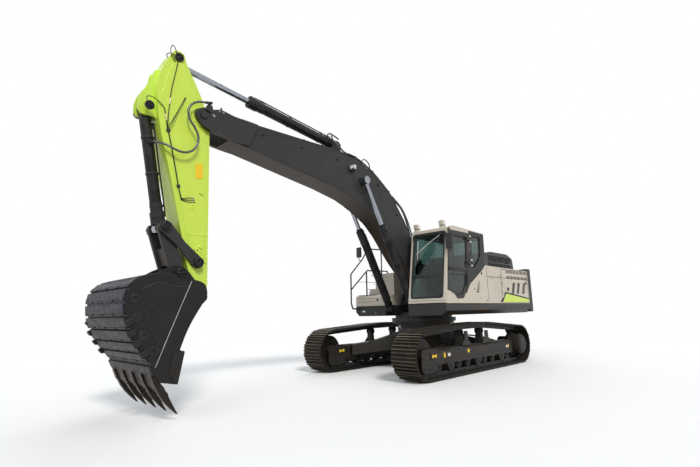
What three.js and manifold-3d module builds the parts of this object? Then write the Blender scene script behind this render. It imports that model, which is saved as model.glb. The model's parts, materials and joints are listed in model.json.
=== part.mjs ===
// Crawler excavator of the 36 tonne class, in millimetres.
// The machine faces -Y, +X is its left (cab) side and +Z is up.
// Everything is laid out about the swing axis at ground level, then the whole
// machine is shifted so that the origin is the bottom centre of its box.

import * as THREE from 'three';
import { mergeVertices } from 'three/addons/utils/BufferGeometryUtils.js';
import Module from 'manifold-3d';

const wasm = await Module();
wasm.setup();

// ---------------------------------------------------------------- dimensions

const seatGap = 0.3; // between pieces that touch
const pinPlay = 2; // radial play of a pin in its bore
const sidePlay = 0.6; // between an eye and the cheek beside it

// Undercarriage
const trackGauge = 2625;
const shoeWidth = 600;
const shoeCount = 51;
const shoeDepth = 52;
const grouserDepth = 26;
const chainWidth = 200;
const chainDepth = 130; // grouser tip to the rail that the rollers run on
const idlerY = -2060;
const sprocketY = 1986;
const idlerLoopRadius = 478;
const sprocketLoopRadius = 462;
const carrierY = [-545, 337];
const carrierTopZ = [1042, 1052];
const rollerCount = 9;
const rollerRadius = 96;
const trackFrameHalfWidth = 138;
const trackFrameTop = 575;
const trackFrameBottom = 272;
const slewDrumRadius = 650;
const slewRingRadius = 790;
const slewRingBottom = 1080;

// Upper structure
const houseHalfWidth = 1440;
const deckBottom = 1227;
const deckTop = 1475;
const deckFrontLeft = -1170;
const deckFrontRight = -930;
const deckRear = 3040;
const tailRadius = 3600;
const counterweightTop = 2425;
const panelTop = 2360;
const cabGap = 18; // between a boom cylinder and the cab beside it
const cabBayGap = 10; // between the open bay's wall and the cab over it
const cabRear = 664;
const cabFloor = 1490;
const cabRoof = 3165;
const cabWall = 48;
const cabLean = 262; // how far the windshield leans back from sill to roof

// Front attachment
const boomLength = 6510;
const boomRaise = 23.07; // degrees, foot to tip, as parked
const boomHalfWidth = 244;
const boomFoot = { y: -150, z: 1950 };
const stickLength = 2902;
const stickLean = 2.15; // degrees that the stick's lower end lies in towards the machine
const stickHalfWidth = 205;
const bucketTip = 1584; // bucket pin to tooth tip
const bucketLean = 15.67; // degrees that the tooth tip lies forward of the bucket pin
const bucketHalfWidth = 772;
const bucketWall = 36;
const boomCylinder = { bore: 88, rod: 50, barrel: 1905, retract: 900, rodEye: 86 };
const stickCylinder = { bore: 96, rod: 58, barrel: 2040, retract: 1200, rodEye: 62 };
const bucketCylinder = { bore: 84, rod: 54, barrel: 1630, retract: 0, rodEye: 60 };
const glandStep = 6; // how far a gland stands proud of its barrel
const pistonLength = 45;
const boomBossHeight = 20; // from the boom's side to the rod eye beside it

// What follows from the boom's width: its cylinders, then the cab and the open bay
const cylinderX = boomHalfWidth + boomBossHeight + boomCylinder.rodEye;
const cabInner = cylinderX + boomCylinder.bore + cabGap;
const bayHalfWidth = cabInner - cabBayGap; // open bay for the boom foot

// ---------------------------------------------------------------- materials

const paint = (color, roughness, metalness = 0.1) => (
  new THREE.MeshStandardMaterial({ color, roughness, metalness })
);
const charcoal = paint(0x3e3d3b, 0.5);
const beige = paint(0xbeb6a8, 0.45);
const lime = paint(0xc8e650, 0.4);
const steelDark = paint(0x33312e, 0.6, 0.6);
const chrome = paint(0xd8d8d8, 0.12, 1);
const rubber = paint(0x151515, 0.85, 0);
const glass = paint(0x6fa39b, 0.08, 0);
const fabric = paint(0x26282b, 0.9, 0);

// ---------------------------------------------------------------- solid tools

const vec = (y, z) => ({ y, z });
const radians = THREE.MathUtils.degToRad;

function toSolid(geometry) {
  geometry.deleteAttribute('normal');
  geometry.deleteAttribute('uv');
  const welded = mergeVertices(geometry, 1e-3);
  return new wasm.Manifold(new wasm.Mesh({
    numProp: 3,
    vertProperties: new Float32Array(welded.attributes.position.array),
    triVerts: new Uint32Array(welded.index.array),
  }));
}

function toGeometry(solid) {
  const mesh = solid.getMesh();
  const geometry = new THREE.BufferGeometry();
  geometry.setAttribute('position', new THREE.BufferAttribute(mesh.vertProperties, 3));
  geometry.setIndex(new THREE.BufferAttribute(mesh.triVerts, 1));
  geometry.computeVertexNormals();
  return geometry;
}

const join = (solids) => solids.reduce((whole, piece) => whole.add(piece));
const cut = (solid, cutters) => cutters.reduce((left, cutter) => left.subtract(cutter), solid);
const mirrorX = (solid) => solid.mirror([1, 0, 0]);
const bothSides = (solid) => solid.add(mirrorX(solid));

// Corners are [a, b] or [a, b, round], where round is the length of each edge
// that the rounding of that corner takes, up to about half of the edge.
function outline(corners) {
  const shape = new THREE.Shape();
  corners.forEach(([a, b, round], i) => {
    const corner = new THREE.Vector2(a, b);
    if (!round) {
      if (i === 0) shape.moveTo(a, b);
      else shape.lineTo(a, b);
      return;
    }
    const last = new THREE.Vector2(...corners.at(i - 1).slice(0, 2));
    const next = new THREE.Vector2(...corners[(i + 1) % corners.length].slice(0, 2));
    const fit = (edge) => edge.sub(corner).clampLength(0, Math.min(round, edge.length() * 0.49));
    const enter = corner.clone().add(fit(last));
    const leave = corner.clone().add(fit(next));
    if (i === 0) shape.moveTo(enter.x, enter.y);
    else shape.lineTo(enter.x, enter.y);
    shape.quadraticCurveTo(a, b, leave.x, leave.y);
  });
  return shape;
}

function extrude(shape, depth, basis, origin, curveSegments) {
  const geometry = new THREE.ExtrudeGeometry(shape, { depth, bevelEnabled: false, curveSegments });
  geometry.applyMatrix4(new THREE.Matrix4().makeBasis(...basis).setPosition(...origin));
  return toSolid(geometry);
}

const unitX = new THREE.Vector3(1, 0, 0);
const unitY = new THREE.Vector3(0, 1, 0);
const unitZ = new THREE.Vector3(0, 0, 1);

// Side profile in (y, z), from x0 to x1.
function sidePlate(corners, x0, x1, curveSegments = 2) {
  const shape = Array.isArray(corners) ? outline(corners) : corners;
  return extrude(shape, x1 - x0, [unitY, unitZ, unitX], [x0, 0, 0], curveSegments);
}

// Plan in (x, y), from z0 to z1.
function planPlate(corners, z0, z1, curveSegments = 2) {
  const shape = Array.isArray(corners) ? outline(corners) : corners;
  return extrude(shape, z1 - z0, [unitX, unitY, unitZ], [0, 0, z0], curveSegments);
}

// Front profile in (x, z), from y0 to y1.
function frontPlate(corners, y0, y1, curveSegments = 2) {
  const shape = outline(corners);
  return extrude(shape, y1 - y0, [unitX, unitZ, unitY.clone().negate()], [0, y1, 0], curveSegments);
}

function box(x0, x1, y0, y1, z0, z1) {
  const geometry = new THREE.BoxGeometry(x1 - x0, y1 - y0, z1 - z0);
  geometry.translate((x0 + x1) / 2, (y0 + y1) / 2, (z0 + z1) / 2);
  return toSolid(geometry);
}

function rodX(radius, x0, x1, at, sides = 12) {
  const geometry = new THREE.CylinderGeometry(radius, radius, x1 - x0, sides);
  geometry.rotateZ(-Math.PI / 2);
  geometry.translate((x0 + x1) / 2, at.y, at.z);
  return toSolid(geometry);
}

function rodZ(radius, z0, z1, x = 0, y = 0, sides = 36) {
  const geometry = new THREE.CylinderGeometry(radius, radius, z1 - z0, sides);
  geometry.rotateX(Math.PI / 2);
  geometry.translate(x, y, (z0 + z1) / 2);
  return toSolid(geometry);
}

// Round bar along local -Y, from s0 to s1 in front of the origin.
function rodForward(radius, s0, s1, sides = 12) {
  const geometry = new THREE.CylinderGeometry(radius, radius, s1 - s0, sides);
  geometry.translate(0, -(s0 + s1) / 2, 0);
  return toSolid(geometry);
}

// Round tube bent along points [x, y, z].
function bentTube(points, radius, steps, sides = 8) {
  const path = new THREE.CatmullRomCurve3(points.map((p) => new THREE.Vector3(...p)));
  const section = Array.from({ length: sides }, (_, i) => {
    const angle = (2 * Math.PI * i) / sides;
    return new THREE.Vector2(radius * Math.cos(angle), radius * Math.sin(angle));
  });
  const options = { steps, extrudePath: path, bevelEnabled: false };
  return toSolid(new THREE.ExtrudeGeometry(new THREE.Shape(section), options));
}

// Straight bars that meet at their ends, for rails and stays.
function barRun(points, radius, sides = 6) {
  const bars = points.slice(1).map((end, i) => {
    const from = new THREE.Vector3(...points[i]);
    const to = new THREE.Vector3(...end);
    const along = to.clone().sub(from);
    const geometry = new THREE.CylinderGeometry(radius, radius, along.length(), sides);
    geometry.applyQuaternion(new THREE.Quaternion().setFromUnitVectors(unitY, along.normalize()));
    geometry.translate(...from.add(to).multiplyScalar(0.5));
    return toSolid(geometry);
  });
  return join(bars);
}

// Fixed half of a hinge: a knuckle past each end of each barrel [z0, z1] of its leaf,
// carried by the flank of the house on the side that "toward" (+1 or -1 along Y) names.
function knuckles(hinge, radius, barrels, toward) {
  const reach = 70;
  const [yNear, yFar] = [hinge.y, hinge.y + toward * reach].sort((a, b) => a - b);
  const [rootNear, rootFar] = [hinge.y + toward * 20, hinge.y + toward * reach].sort((a, b) => a - b);
  const flank = houseHalfWidth;
  const spans = barrels.flatMap(([low, high]) => [
    [low - 40, low - seatGap], [high + seatGap, high + 40],
  ]);
  return join(spans.map(([z0, z1]) => join([
    rodZ(radius, z0, z1, hinge.x, hinge.y, 10),
    box(flank + 1.5, hinge.x, yNear, yFar, z0, z1),
    box(flank - 10, flank + 2, rootNear, rootFar, z0, z1),
  ])));
}

function piece(name, solid, material) {
  const mesh = new THREE.Mesh(toGeometry(solid), material);
  mesh.name = name;
  return mesh;
}

// ---------------------------------------------------------------- undercarriage

// Point where the line from outside touches a circle, on the upper side.
function tangentAngle(centre, radius, outside) {
  const dy = outside.y - centre.y;
  const dz = outside.z - centre.z;
  const spread = Math.acos(radius / Math.hypot(dy, dz));
  return Math.atan2(dz, dy) + Math.sign(dy) * spread;
}

// Line at a depth below the grouser tips: idler, top, sprocket. Its ends are the bottom run's.
function trackPath(depth) {
  const idler = vec(idlerY, idlerLoopRadius);
  const sprocket = vec(sprocketY, sprocketLoopRadius);
  const front = vec(carrierY[0], carrierTopZ[0] - depth);
  const rear = vec(carrierY[1], carrierTopZ[1] - depth);
  const idlerRadius = idlerLoopRadius - depth;
  const sprocketRadius = sprocketLoopRadius - depth;
  const leaveIdler = tangentAngle(idler, idlerRadius, front);
  const meetSprocket = tangentAngle(sprocket, sprocketRadius, rear);
  const path = new THREE.Shape();
  path.absarc(idler.y, idler.z, idlerRadius, -Math.PI / 2, leaveIdler, true);
  path.lineTo(front.y, front.z);
  path.lineTo(rear.y, rear.z);
  path.absarc(sprocket.y, sprocket.z, sprocketRadius, meetSprocket, -Math.PI / 2, true);
  return path;
}

// Point of the loop at a share of its length, moved inwards by a depth.
function loopPoint(path, share, depth) {
  const point = path.getPointAt(share % 1);
  const heading = path.getTangentAt(share % 1);
  return [point.x + heading.y * depth, point.y - heading.x * depth];
}

function makeShoe(path, index) {
  const start = (index + 0.1) / shoeCount;
  const end = (index + 0.84) / shoeCount;
  const root = grouserDepth + 4;
  return sidePlate([
    loopPoint(path, start, root), loopPoint(path, start, 0), loopPoint(path, end, 0),
    loopPoint(path, end, root),
  ], -shoeWidth / 2, shoeWidth / 2);
}

function loopRing(outerDepth, innerDepth, halfWidth) {
  const outer = sidePlate(trackPath(outerDepth), -halfWidth, halfWidth, 9);
  const inner = sidePlate(trackPath(innerDepth), -halfWidth - 10, halfWidth + 10, 9);
  return outer.subtract(inner);
}

function makeTrack() {
  const belt = loopRing(grouserDepth, shoeDepth, shoeWidth / 2);
  const chain = loopRing(shoeDepth - 10, chainDepth, chainWidth / 2);
  const path = trackPath(0);
  path.closePath();
  const shoes = Array.from({ length: shoeCount }, (_, index) => makeShoe(path, index));
  return join([belt, chain, ...shoes]);
}

const yokePlateGap = 104; // idler centre plane to the yoke plate's inner face
const yokePlate = 34;

function rollerHeight() {
  return chainDepth + seatGap + rollerRadius;
}

function roller(y, z, radius, halfWidth) {
  return rodX(radius, -halfWidth, halfWidth, vec(y, z), 12);
}

function carrierRoller(index) {
  const radius = 62;
  const y = carrierY[index];
  const z = carrierTopZ[index] - chainDepth - 5 - radius;
  const post = frontPlate([
    [-100, trackFrameTop - 20], [100, trackFrameTop - 20], [70, z - 30], [55, z + 38],
    [-55, z + 38], [-70, z - 30],
  ], y - 40, y + 40);
  return [post, roller(y, z, radius, 80)];
}

function makeTrackFrame() {
  const halfWidth = trackFrameHalfWidth;
  const rear = sprocketY - sprocketLoopRadius + 190;
  const beamFront = idlerY + idlerLoopRadius - chainDepth + 22;
  const beam = frontPlate([
    [-halfWidth, trackFrameBottom], [halfWidth, trackFrameBottom],
    [halfWidth, trackFrameTop - 46], [halfWidth - 60, trackFrameTop],
    [60 - halfWidth, trackFrameTop], [-halfWidth, trackFrameTop - 46],
  ], beamFront, rear);
  const yoke = sidePlate([
    [beamFront + 80, 150, 60], [beamFront + 80, 590, 60],
    [idlerY - 66, 590, 70], [idlerY - 66, 136, 110], [idlerY + 250, 136, 60],
  ], yokePlateGap, yokePlateGap + yokePlate);
  const guards = [1, 4, 7].map((i) => {
    const y = rollerY(i);
    return sidePlate([
      [y - 150, trackFrameBottom + 20], [y - 105, 186], [y - 50, 138], [y + 50, 138],
      [y + 105, 186], [y + 150, trackFrameBottom + 20],
    ], yokePlateGap, halfWidth + 12);
  });
  const sprocketSlot = box(-50, 50, sprocketY - sprocketLoopRadius + chainDepth - 20, 3000, 0, 900);
  const rollers = Array.from({ length: rollerCount }, (_, i) => (
    roller(rollerY(i), rollerHeight(), rollerRadius, 96)
  ));
  const carriers = [...carrierRoller(0), ...carrierRoller(1)];
  const sideParts = bothSides(join([yoke, ...guards]));
  return join([beam.subtract(sprocketSlot), sideParts, ...rollers, ...carriers]);
}

function rollerY(i) {
  const first = idlerY + 560;
  const last = sprocketY - 520;
  return first + ((last - first) * i) / (rollerCount - 1);
}

// The plate and travel motor that carry the sprocket, on the inner side.
function makeDriveMount(side) {
  const inner = trackFrameHalfWidth;
  const rear = sprocketY - sprocketLoopRadius + 190;
  const plate = sidePlate([
    [rear - 260, trackFrameBottom, 40], [rear, trackFrameBottom], [sprocketY + 90, 250, 130],
    [sprocketY + 200, sprocketLoopRadius, 150], [sprocketY + 90, 670, 130],
    [rear, trackFrameTop - 46], [rear - 260, trackFrameTop - 46, 40],
  ], inner - 42, inner);
  const motor = rodX(172, inner - 10, inner + 190, vec(sprocketY, sprocketLoopRadius), 20);
  const mount = plate.add(motor);
  return side > 0 ? mirrorX(mount) : mount;
}

function makeIdler() {
  const centre = vec(idlerY, idlerLoopRadius);
  const radius = idlerLoopRadius - chainDepth - 12;
  const rim = rodX(radius, -72, 72, centre, 32);
  const hub = rodX(92, seatGap - yokePlateGap, yokePlateGap - seatGap, centre);
  return join([rim, hub]);
}

const sprocketTeeth = 13;

function makeSprocket(side) {
  const centre = vec(sprocketY, sprocketLoopRadius);
  const tip = sprocketLoopRadius - chainDepth - 12;
  const teeth = Array.from({ length: sprocketTeeth * 4 }, (_, i) => {
    const angle = (2 * Math.PI * i) / (sprocketTeeth * 4);
    const radius = i % 4 < 2 ? tip : tip - 44;
    return [centre.y + radius * Math.cos(angle), centre.z + radius * Math.sin(angle)];
  });
  const disc = sidePlate(teeth, -34, 34);
  const inner = trackFrameHalfWidth - 42 - seatGap;
  const hub = rodX(236, -inner, 250, centre, 24);
  const cover = rodX(205, 240, 285, centre, 24);
  const drive = join([disc, hub, cover]);
  return side > 0 ? drive : mirrorX(drive);
}

const legSpare = 167.25; // how far a leg's blank runs on past the track frame's face

function makeCarbody() {
  const reach = trackGauge / 2 - trackFrameHalfWidth - seatGap;
  const drum = join([
    rodZ(slewDrumRadius, 800, slewRingBottom - seatGap),
    rodZ(slewDrumRadius + 90, slewRingBottom - 50, slewRingBottom - seatGap),
    rodZ(slewDrumRadius + 130, 690, 812),
  ]);
  const legAngle = 46;
  const legEnd = (trackGauge / 2 - trackFrameHalfWidth) / Math.sin(radians(legAngle)) + legSpare;
  const leg = sidePlate([
    [200, 470], [900, 430, 200], [legEnd, 330], [legEnd, 575], [1250, 640, 200],
    [760, 790, 90], [200, 790],
  ], -215, 215);
  const legs = [legAngle, -legAngle, 180 - legAngle, legAngle - 180].map((angle) => (
    leg.rotate([0, 0, angle - 90])
  ));
  const keel = box(-640, 640, -640, 640, 450, 700);
  const limit = box(-reach, reach, -1900, 1900, 300, 2000);
  return join([drum, keel, ...legs]).intersect(limit);
}

function undercarriage() {
  const group = new THREE.Group();
  group.add(piece('carbody', makeCarbody(), charcoal));
  [['left', 1], ['right', -1]].forEach(([name, side]) => {
    const half = new THREE.Group();
    half.position.x = (side * trackGauge) / 2;
    const frame = makeTrackFrame().add(makeDriveMount(side));
    half.add(piece(`track_frame_${name}`, frame, charcoal));
    half.add(piece(`track_${name}`, makeTrack(), steelDark));
    half.add(piece(`idler_${name}`, makeIdler(), steelDark));
    half.add(piece(`sprocket_${name}`, makeSprocket(side), charcoal));
    group.add(half);
  });
  return group;
}

// ---------------------------------------------------------------- upper structure

const basePin = vec(-870, 1400); // boom cylinder base
const earThickness = 38;
const barrelStart = 145; // barrel pin to the start of its tube, past the ears
const basePinRadius = 48;
const footPinRadius = 62;

function makeMainFrame() {
  const skirt = frontPlate([
    [-houseHalfWidth + 110, deckBottom], [houseHalfWidth - 110, deckBottom],
    [houseHalfWidth, deckBottom + 95], [houseHalfWidth + 12, deckTop - 60],
    [houseHalfWidth - 14, deckTop], [14 - houseHalfWidth, deckTop],
    [-houseHalfWidth - 12, deckTop - 60], [-houseHalfWidth, deckBottom + 95],
  ], deckFrontLeft, deckRear);
  const rightFront = box(-2000, 0, -3000, deckFrontRight, 0, 3000);
  const bay = box(-bayHalfWidth, bayHalfWidth, -3000, -600, 0, 3000);
  const centreSlot = box(-boomHalfWidth - 12, boomHalfWidth + 12, -3000, 420, 1300, 3000);
  const ringBolts = rodZ(slewRingRadius - 90, deckBottom - 60, deckBottom + 1);
  const inner = boomHalfWidth + 12;
  const footBracket = sidePlate([
    [-620, deckTop - 40], [-330, boomFoot.z + 60, 160], [-150, boomFoot.z + 210, 150],
    [60, boomFoot.z + 60, 160], [430, deckTop + 90, 120], [460, deckTop - 40],
  ], inner, inner + earThickness);
  const pinBracket = [[inner, inner + earThickness], [bayHalfWidth - earThickness, bayHalfWidth]]
    .map(([x0, x1]) => sidePlate([
      [-590, deckBottom + 4], [basePin.y - 40, basePin.z - 100, 60],
      [basePin.y - 104, basePin.z, 60], [basePin.y - 30, basePin.z + 96, 60],
      [basePin.y + 120, basePin.z + 70], [-590, deckTop - 20],
    ], x0, x1));
  const brackets = bothSides(join([footBracket, ...pinBracket]));
  const footPin = rodX(footPinRadius, -inner - 90, inner + 90, boomFoot);
  const basePins = bothSides(rodX(basePinRadius, inner - 4, bayHalfWidth + 1.5, basePin));
  const deck = cut(skirt, [rightFront, bay, centreSlot]);
  return join([deck, ringBolts, brackets, footPin, basePins]);
}

function makeCounterweight() {
  const shape = new THREE.Shape();
  const cornerY = Math.sqrt(tailRadius ** 2 - houseHalfWidth ** 2);
  const cornerAngle = Math.atan2(cornerY, houseHalfWidth);
  const front = deckRear + seatGap;
  shape.moveTo(-houseHalfWidth, front);
  shape.lineTo(houseHalfWidth, front);
  shape.lineTo(houseHalfWidth, cornerY - 60);
  shape.absarc(0, 0, tailRadius, cornerAngle + 0.03, Math.PI - cornerAngle - 0.03, false);
  shape.lineTo(-houseHalfWidth, cornerY - 60);
  const block = planPlate(shape, deckBottom + 20, counterweightTop, 16);
  const lip = sidePlate([
    [tailRadius - 330, counterweightTop + 10], [tailRadius + 40, counterweightTop + 10],
    [tailRadius + 40, counterweightTop - 110],
  ], -1600, 1600);
  const under = sidePlate([
    [front - 10, deckBottom], [front + 120, deckBottom], [tailRadius + 50, deckBottom + 260],
    [tailRadius + 50, deckBottom - 60], [front - 10, deckBottom - 60],
  ], -1600, 1600);
  const hoodRest = box(-hood.halfWidth - 14, hood.halfWidth + 14, front - 20, hood.rear + 14,
    hood.base - 2, 3000);
  return cut(block, [lip, under, hoodRest]);
}

// Cab: outer side outline, shrunk by each wall for the hollow inside.
function cabOutline(inset) {
  const front = deckFrontLeft - 14 + inset;
  return [
    [front, cabFloor + inset], [cabRear - inset, cabFloor + inset],
    [cabRear - inset, cabRoof - inset, 60], [front + cabLean + 190, cabRoof + 42 - inset, 60],
    [front + cabLean, cabRoof - 4 - inset, 40],
  ];
}

const doorOutline = [
  [-1080, 1755], [-985, 1745, 60], [-800, 1680, 70], [-715, 1578, 50], [-430, 1588, 50],
  [-180, 1900, 60], [-66, 2700, 200], [-56, 3092, 30], [-924, 3092, 30],
];

function grown(corners, by) {
  const centre = corners.reduce((sum, [y, z]) => [sum[0] + y, sum[1] + z], [0, 0])
    .map((total) => total / corners.length);
  return corners.map(([y, z, round]) => {
    const reach = Math.hypot(y - centre[0], z - centre[1]);
    const scale = (reach + by) / reach;
    return [centre[0] + (y - centre[0]) * scale, centre[1] + (z - centre[1]) * scale, round];
  });
}

const doorWindow = [
  [-1010, 1850, 40], [-860, 1790, 60], [-700, 1660, 40], [-470, 1670, 50],
  [-270, 1950, 60], [-170, 2720, 200], [-150, 3000, 60], [-880, 3000, 60],
];
const quarterWindow = [
  [40, 2230, 30], [40, 3040, 40], [470, 3060, 40], [440, 2560, 60],
];

const rightWindow = [[-940, 2150, 60], [540, 2150, 60], [540, 3040, 60], [-800, 3040, 60]];
const rearWindow = [
  [cabInner + 90, 2420, 60], [houseHalfWidth - 90, 2420, 60], [houseHalfWidth - 90, 3040, 60],
  [cabInner + 90, 3040, 60],
];

function windshieldOpening() {
  return frontPlate([
    [cabInner + 48, cabFloor + 96, 70], [houseHalfWidth - 60, cabFloor + 96, 70],
    [houseHalfWidth - 60, cabRoof - 110, 90], [cabInner + 48, cabRoof - 110, 90],
  ], deckFrontLeft - 400, deckFrontLeft + cabLean + 130);
}

function makeRoofLamp(x) {
  const y = deckFrontLeft - 14 + cabLean + 60;
  const foot = box(x - 40, x + 40, y - 50, y + 50, cabRoof - 10, cabRoof + 32);
  const stem = box(x - 22, x + 22, y - 20, y + 20, cabRoof + 20, cabRoof + 70);
  const head = box(x - 58, x + 58, y - 44, y + 44, cabRoof + 60, cabRoof + 160);
  return join([stem, foot, head]);
}

function makeCabShell() {
  const outer = sidePlate(cabOutline(0), cabInner, houseHalfWidth);
  const hollow = sidePlate(cabOutline(cabWall), cabInner + cabWall, houseHalfWidth - cabWall);
  const doorHole = sidePlate(grown(doorOutline, 7), houseHalfWidth - cabWall - 20, 1600);
  const quarter = sidePlate(quarterWindow, houseHalfWidth - cabWall - 20, 1600);
  const rightHole = sidePlate(rightWindow, cabInner - 20, cabInner + cabWall + 20);
  const rearHole = frontPlate(rearWindow, cabRear - cabWall - 20, cabRear + 40);
  const lamps = [cabInner + 90, houseHalfWidth - 190].map(makeRoofLamp);
  const feet = [cabInner + 90, houseHalfWidth - 110].flatMap((x) => [-1050, 540].map((y) => (
    rodZ(60, deckTop + seatGap, cabFloor + 10, x, y, 12)
  )));
  const hingeHalves = knuckles(doorHinge, doorHingeRadius, doorBarrels, 1);
  const shell = cut(outer, [
    hollow, doorHole, quarter, rightHole, rearHole, windshieldOpening(),
  ]);
  return join([shell, hingeHalves, ...lamps, ...feet]);
}

const paneThickness = 8;

// Thin slab that follows the leaning front of the cab.
function frontSlab(inset, thickness) {
  const face = deckFrontLeft - 14 + inset;
  return sidePlate([
    [face, cabFloor], [face + thickness, cabFloor], [face + cabLean + thickness, cabRoof - 4],
    [face + cabLean, cabRoof - 4],
  ], cabInner, houseHalfWidth);
}

function makeWindshield() {
  const slab = frontSlab(16, paneThickness);
  const edge = frontPlate([
    [cabInner + 48 + seatGap, cabFloor + 96 + seatGap, 70],
    [houseHalfWidth - 60 - seatGap, cabFloor + 96 + seatGap, 70],
    [houseHalfWidth - 60 - seatGap, cabRoof - 110 - seatGap, 90],
    [cabInner + 48 + seatGap, cabRoof - 110 - seatGap, 90],
  ], deckFrontLeft - 400, deckFrontLeft + cabLean + 130);
  const bar = box(cabInner + 40, houseHalfWidth - 52, -1500, 0, 2050, 2078);
  const frame = frontSlab(6, 28).intersect(bar).intersect(edge);
  return slab.intersect(edge).add(frame);
}

function sidePane(corners, x0) {
  return sidePlate(grown(corners, -seatGap), x0, x0 + paneThickness);
}

function makeCabDoor() {
  const panel = sidePlate(doorOutline, houseHalfWidth - cabWall, houseHalfWidth);
  const window = sidePlate(doorWindow, houseHalfWidth - 100, 1600);
  const bar = sidePlate([
    [-1040, 2215], [-120, 2215], [-120, 2275], [-1040, 2275],
  ], houseHalfWidth - 16, houseHalfWidth - 4).intersect(
    sidePlate(grown(doorOutline, -20), 1000, 1600),
  );
  const hinges = doorBarrels.map(([z0, z1]) => join([
    rodZ(doorHingeRadius, z0, z1, doorHinge.x, doorHinge.y, 10),
    box(houseHalfWidth + 6, doorHinge.x + 8, doorHinge.y - 140, doorHinge.y, z0 + 15, z1 - 15),
    box(houseHalfWidth - 8, houseHalfWidth + 8, doorHinge.y - 140, doorHinge.y - 84,
      z0 + 15, z1 - 15),
  ]));
  const grip = box(houseHalfWidth - 4, houseHalfWidth + 34, -1010, -850, 2225, 2262);
  return join([cut(panel, [window]), bar, grip, ...hinges]);
}

const doorHinge = { x: houseHalfWidth + 22, y: -42 };
const doorHingeRadius = 15;
const doorBarrels = [[2355, 2445], [2915, 3005]];

const floorTop = cabFloor + cabWall;

function makeOperatorStation() {
  const pedestal = box(700, 1190, -330, 190, floorTop + seatGap, 1850);
  const slide = box(640, 1250, -390, 230, 1800, 1890);
  const leftConsole = box(1180, 1330, -560, 120, 1830, 2120);
  const rightConsole = box(560, 710, -560, 120, 1830, 2120);
  const levers = [635, 1255].map((x) => barRun([[x, -490, 2100], [x, -520, 2330]], 17, 10));
  const pedalRise = barRun([[940, -700, floorTop + 6], [940, -720, 1760]], 14, 8);
  const pedal = box(850, 1030, -800, -690, floorTop + seatGap, floorTop + 70);
  const foot = box(860, 1020, -790, -300, floorTop + seatGap, floorTop + 30);
  return join([pedestal, slide, leftConsole, rightConsole, ...levers, pedalRise, pedal, foot]);
}

const seatTop = 2002;

function makeSeatCushion() {
  return sidePlate([
    [-370, 1890 + seatGap, 40], [235, 1890 + seatGap, 40], [235, seatTop, 30], [60, seatTop],
    [-370, seatTop + 10, 60],
  ], 725, 1165);
}

function makeSeatBack() {
  return sidePlate([
    [100, seatTop + seatGap, 30], [230, seatTop + seatGap, 40], [340, 2680, 60], [220, 2700, 50],
  ], 735, 1155);
}

// Left body: the beige panel that rises behind the cab door, and the bay behind it.
const leftDoor = { front: 1440, rear: 3010, bottom: deckTop + 22, top: panelTop - 20 };
const sideDoorThickness = 40;

function bodyProfile(inset) {
  return [
    [cabRear + 6, deckTop + seatGap], [deckRear - 2, deckTop + seatGap],
    [deckRear - 2, panelTop - inset, 60], [cabRear + 6, panelTop + 22 - inset],
  ];
}

function doorCutter(door, grow, x0, x1) {
  return sidePlate([
    [door.front - grow, door.bottom - grow, 30], [door.rear + grow, door.bottom - grow, 30],
    [door.rear + grow, door.top + grow, 60], [door.front - grow, door.top + grow, 40],
  ], x0, x1);
}

const bodyWall = 42;
const bayFront = 1015;

function makeLeftBody() {
  const outer = sidePlate(bodyProfile(0), 900, houseHalfWidth)
    .add(box(bayHalfWidth + 8, 902, cabRear + 6, bayFront - 15, deckTop + seatGap, panelTop));
  const hollow = box(860, houseHalfWidth - bodyWall, leftDoor.front - 60, deckRear - 50,
    deckTop + 44, panelTop - 60);
  const hole = doorCutter(leftDoor, 6, houseHalfWidth - bodyWall - 20, 1600);
  return cut(outer, [hollow, hole]).add(sideKnuckles());
}

// Low beige flank beside the cab, with its sloping upper edge.
function makeCabSidePanel() {
  return sidePlate([
    [deckFrontLeft + 30, deckTop + seatGap], [cabRear + 5.5, deckTop + seatGap],
    [cabRear + 5.5, 2366], [-135, 1905], [-420, 1560, 60], [-730, 1560, 60], [-800, 1660, 70],
    [-985, 1728, 60], [deckFrontLeft + 30, 1728],
  ], houseHalfWidth + seatGap, houseHalfWidth + 13);
}

function makeSideDoor(door, side) {
  const panel = doorCutter(door, 0, houseHalfWidth - sideDoorThickness, houseHalfWidth);
  const louvres = [2080, 2380, 2680].map((y) => sidePlate([
    [y - 105, 1722], [y + 5, 1722], [y + 105, 2006], [y - 5, 2006],
  ], houseHalfWidth - 12, houseHalfWidth + 20));
  const leaves = sideBarrels.map(([z0, z1]) => join([
    rodZ(sideHingeRadius, z0, z1, sideHinge.x, sideHinge.y, 10),
    box(houseHalfWidth - 12, sideHinge.x, door.front + 2, door.front + 60, z0, z1),
  ]));
  const leftDoorSolid = join([cut(panel, louvres), ...leaves]);
  return side > 0 ? leftDoorSolid : mirrorX(leftDoorSolid);
}

const sideHinge = { x: houseHalfWidth + 18, y: leftDoor.front + 8 };
const sideHingeRadius = 14;
const sideBarrels = [
  [leftDoor.bottom + 160, leftDoor.bottom + 300], [leftDoor.top - 300, leftDoor.top - 160],
];

function sideKnuckles() {
  return knuckles(sideHinge, sideHingeRadius, sideBarrels, -1);
}

function makeRightBody() {
  const outer = sidePlate([
    [1010, deckTop + seatGap], [deckRear - 2, deckTop + seatGap],
    [deckRear - 2, panelTop, 60], [1010, panelTop],
  ], 900, houseHalfWidth);
  const hollow = box(860, houseHalfWidth - bodyWall, leftDoor.front - 60, deckRear - 50,
    deckTop + 44, panelTop - 60);
  const hole = doorCutter(leftDoor, 6, houseHalfWidth - bodyWall - 20, 1600);
  return mirrorX(cut(outer, [hollow, hole]).add(sideKnuckles()));
}

// Engine bay walls between the two bodies, open on top under the hood.
const hood = {
  front: 1715, rear: 3430, base: panelTop + seatGap, top: 2897, halfWidth: 880, wall: 36,
};

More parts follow.
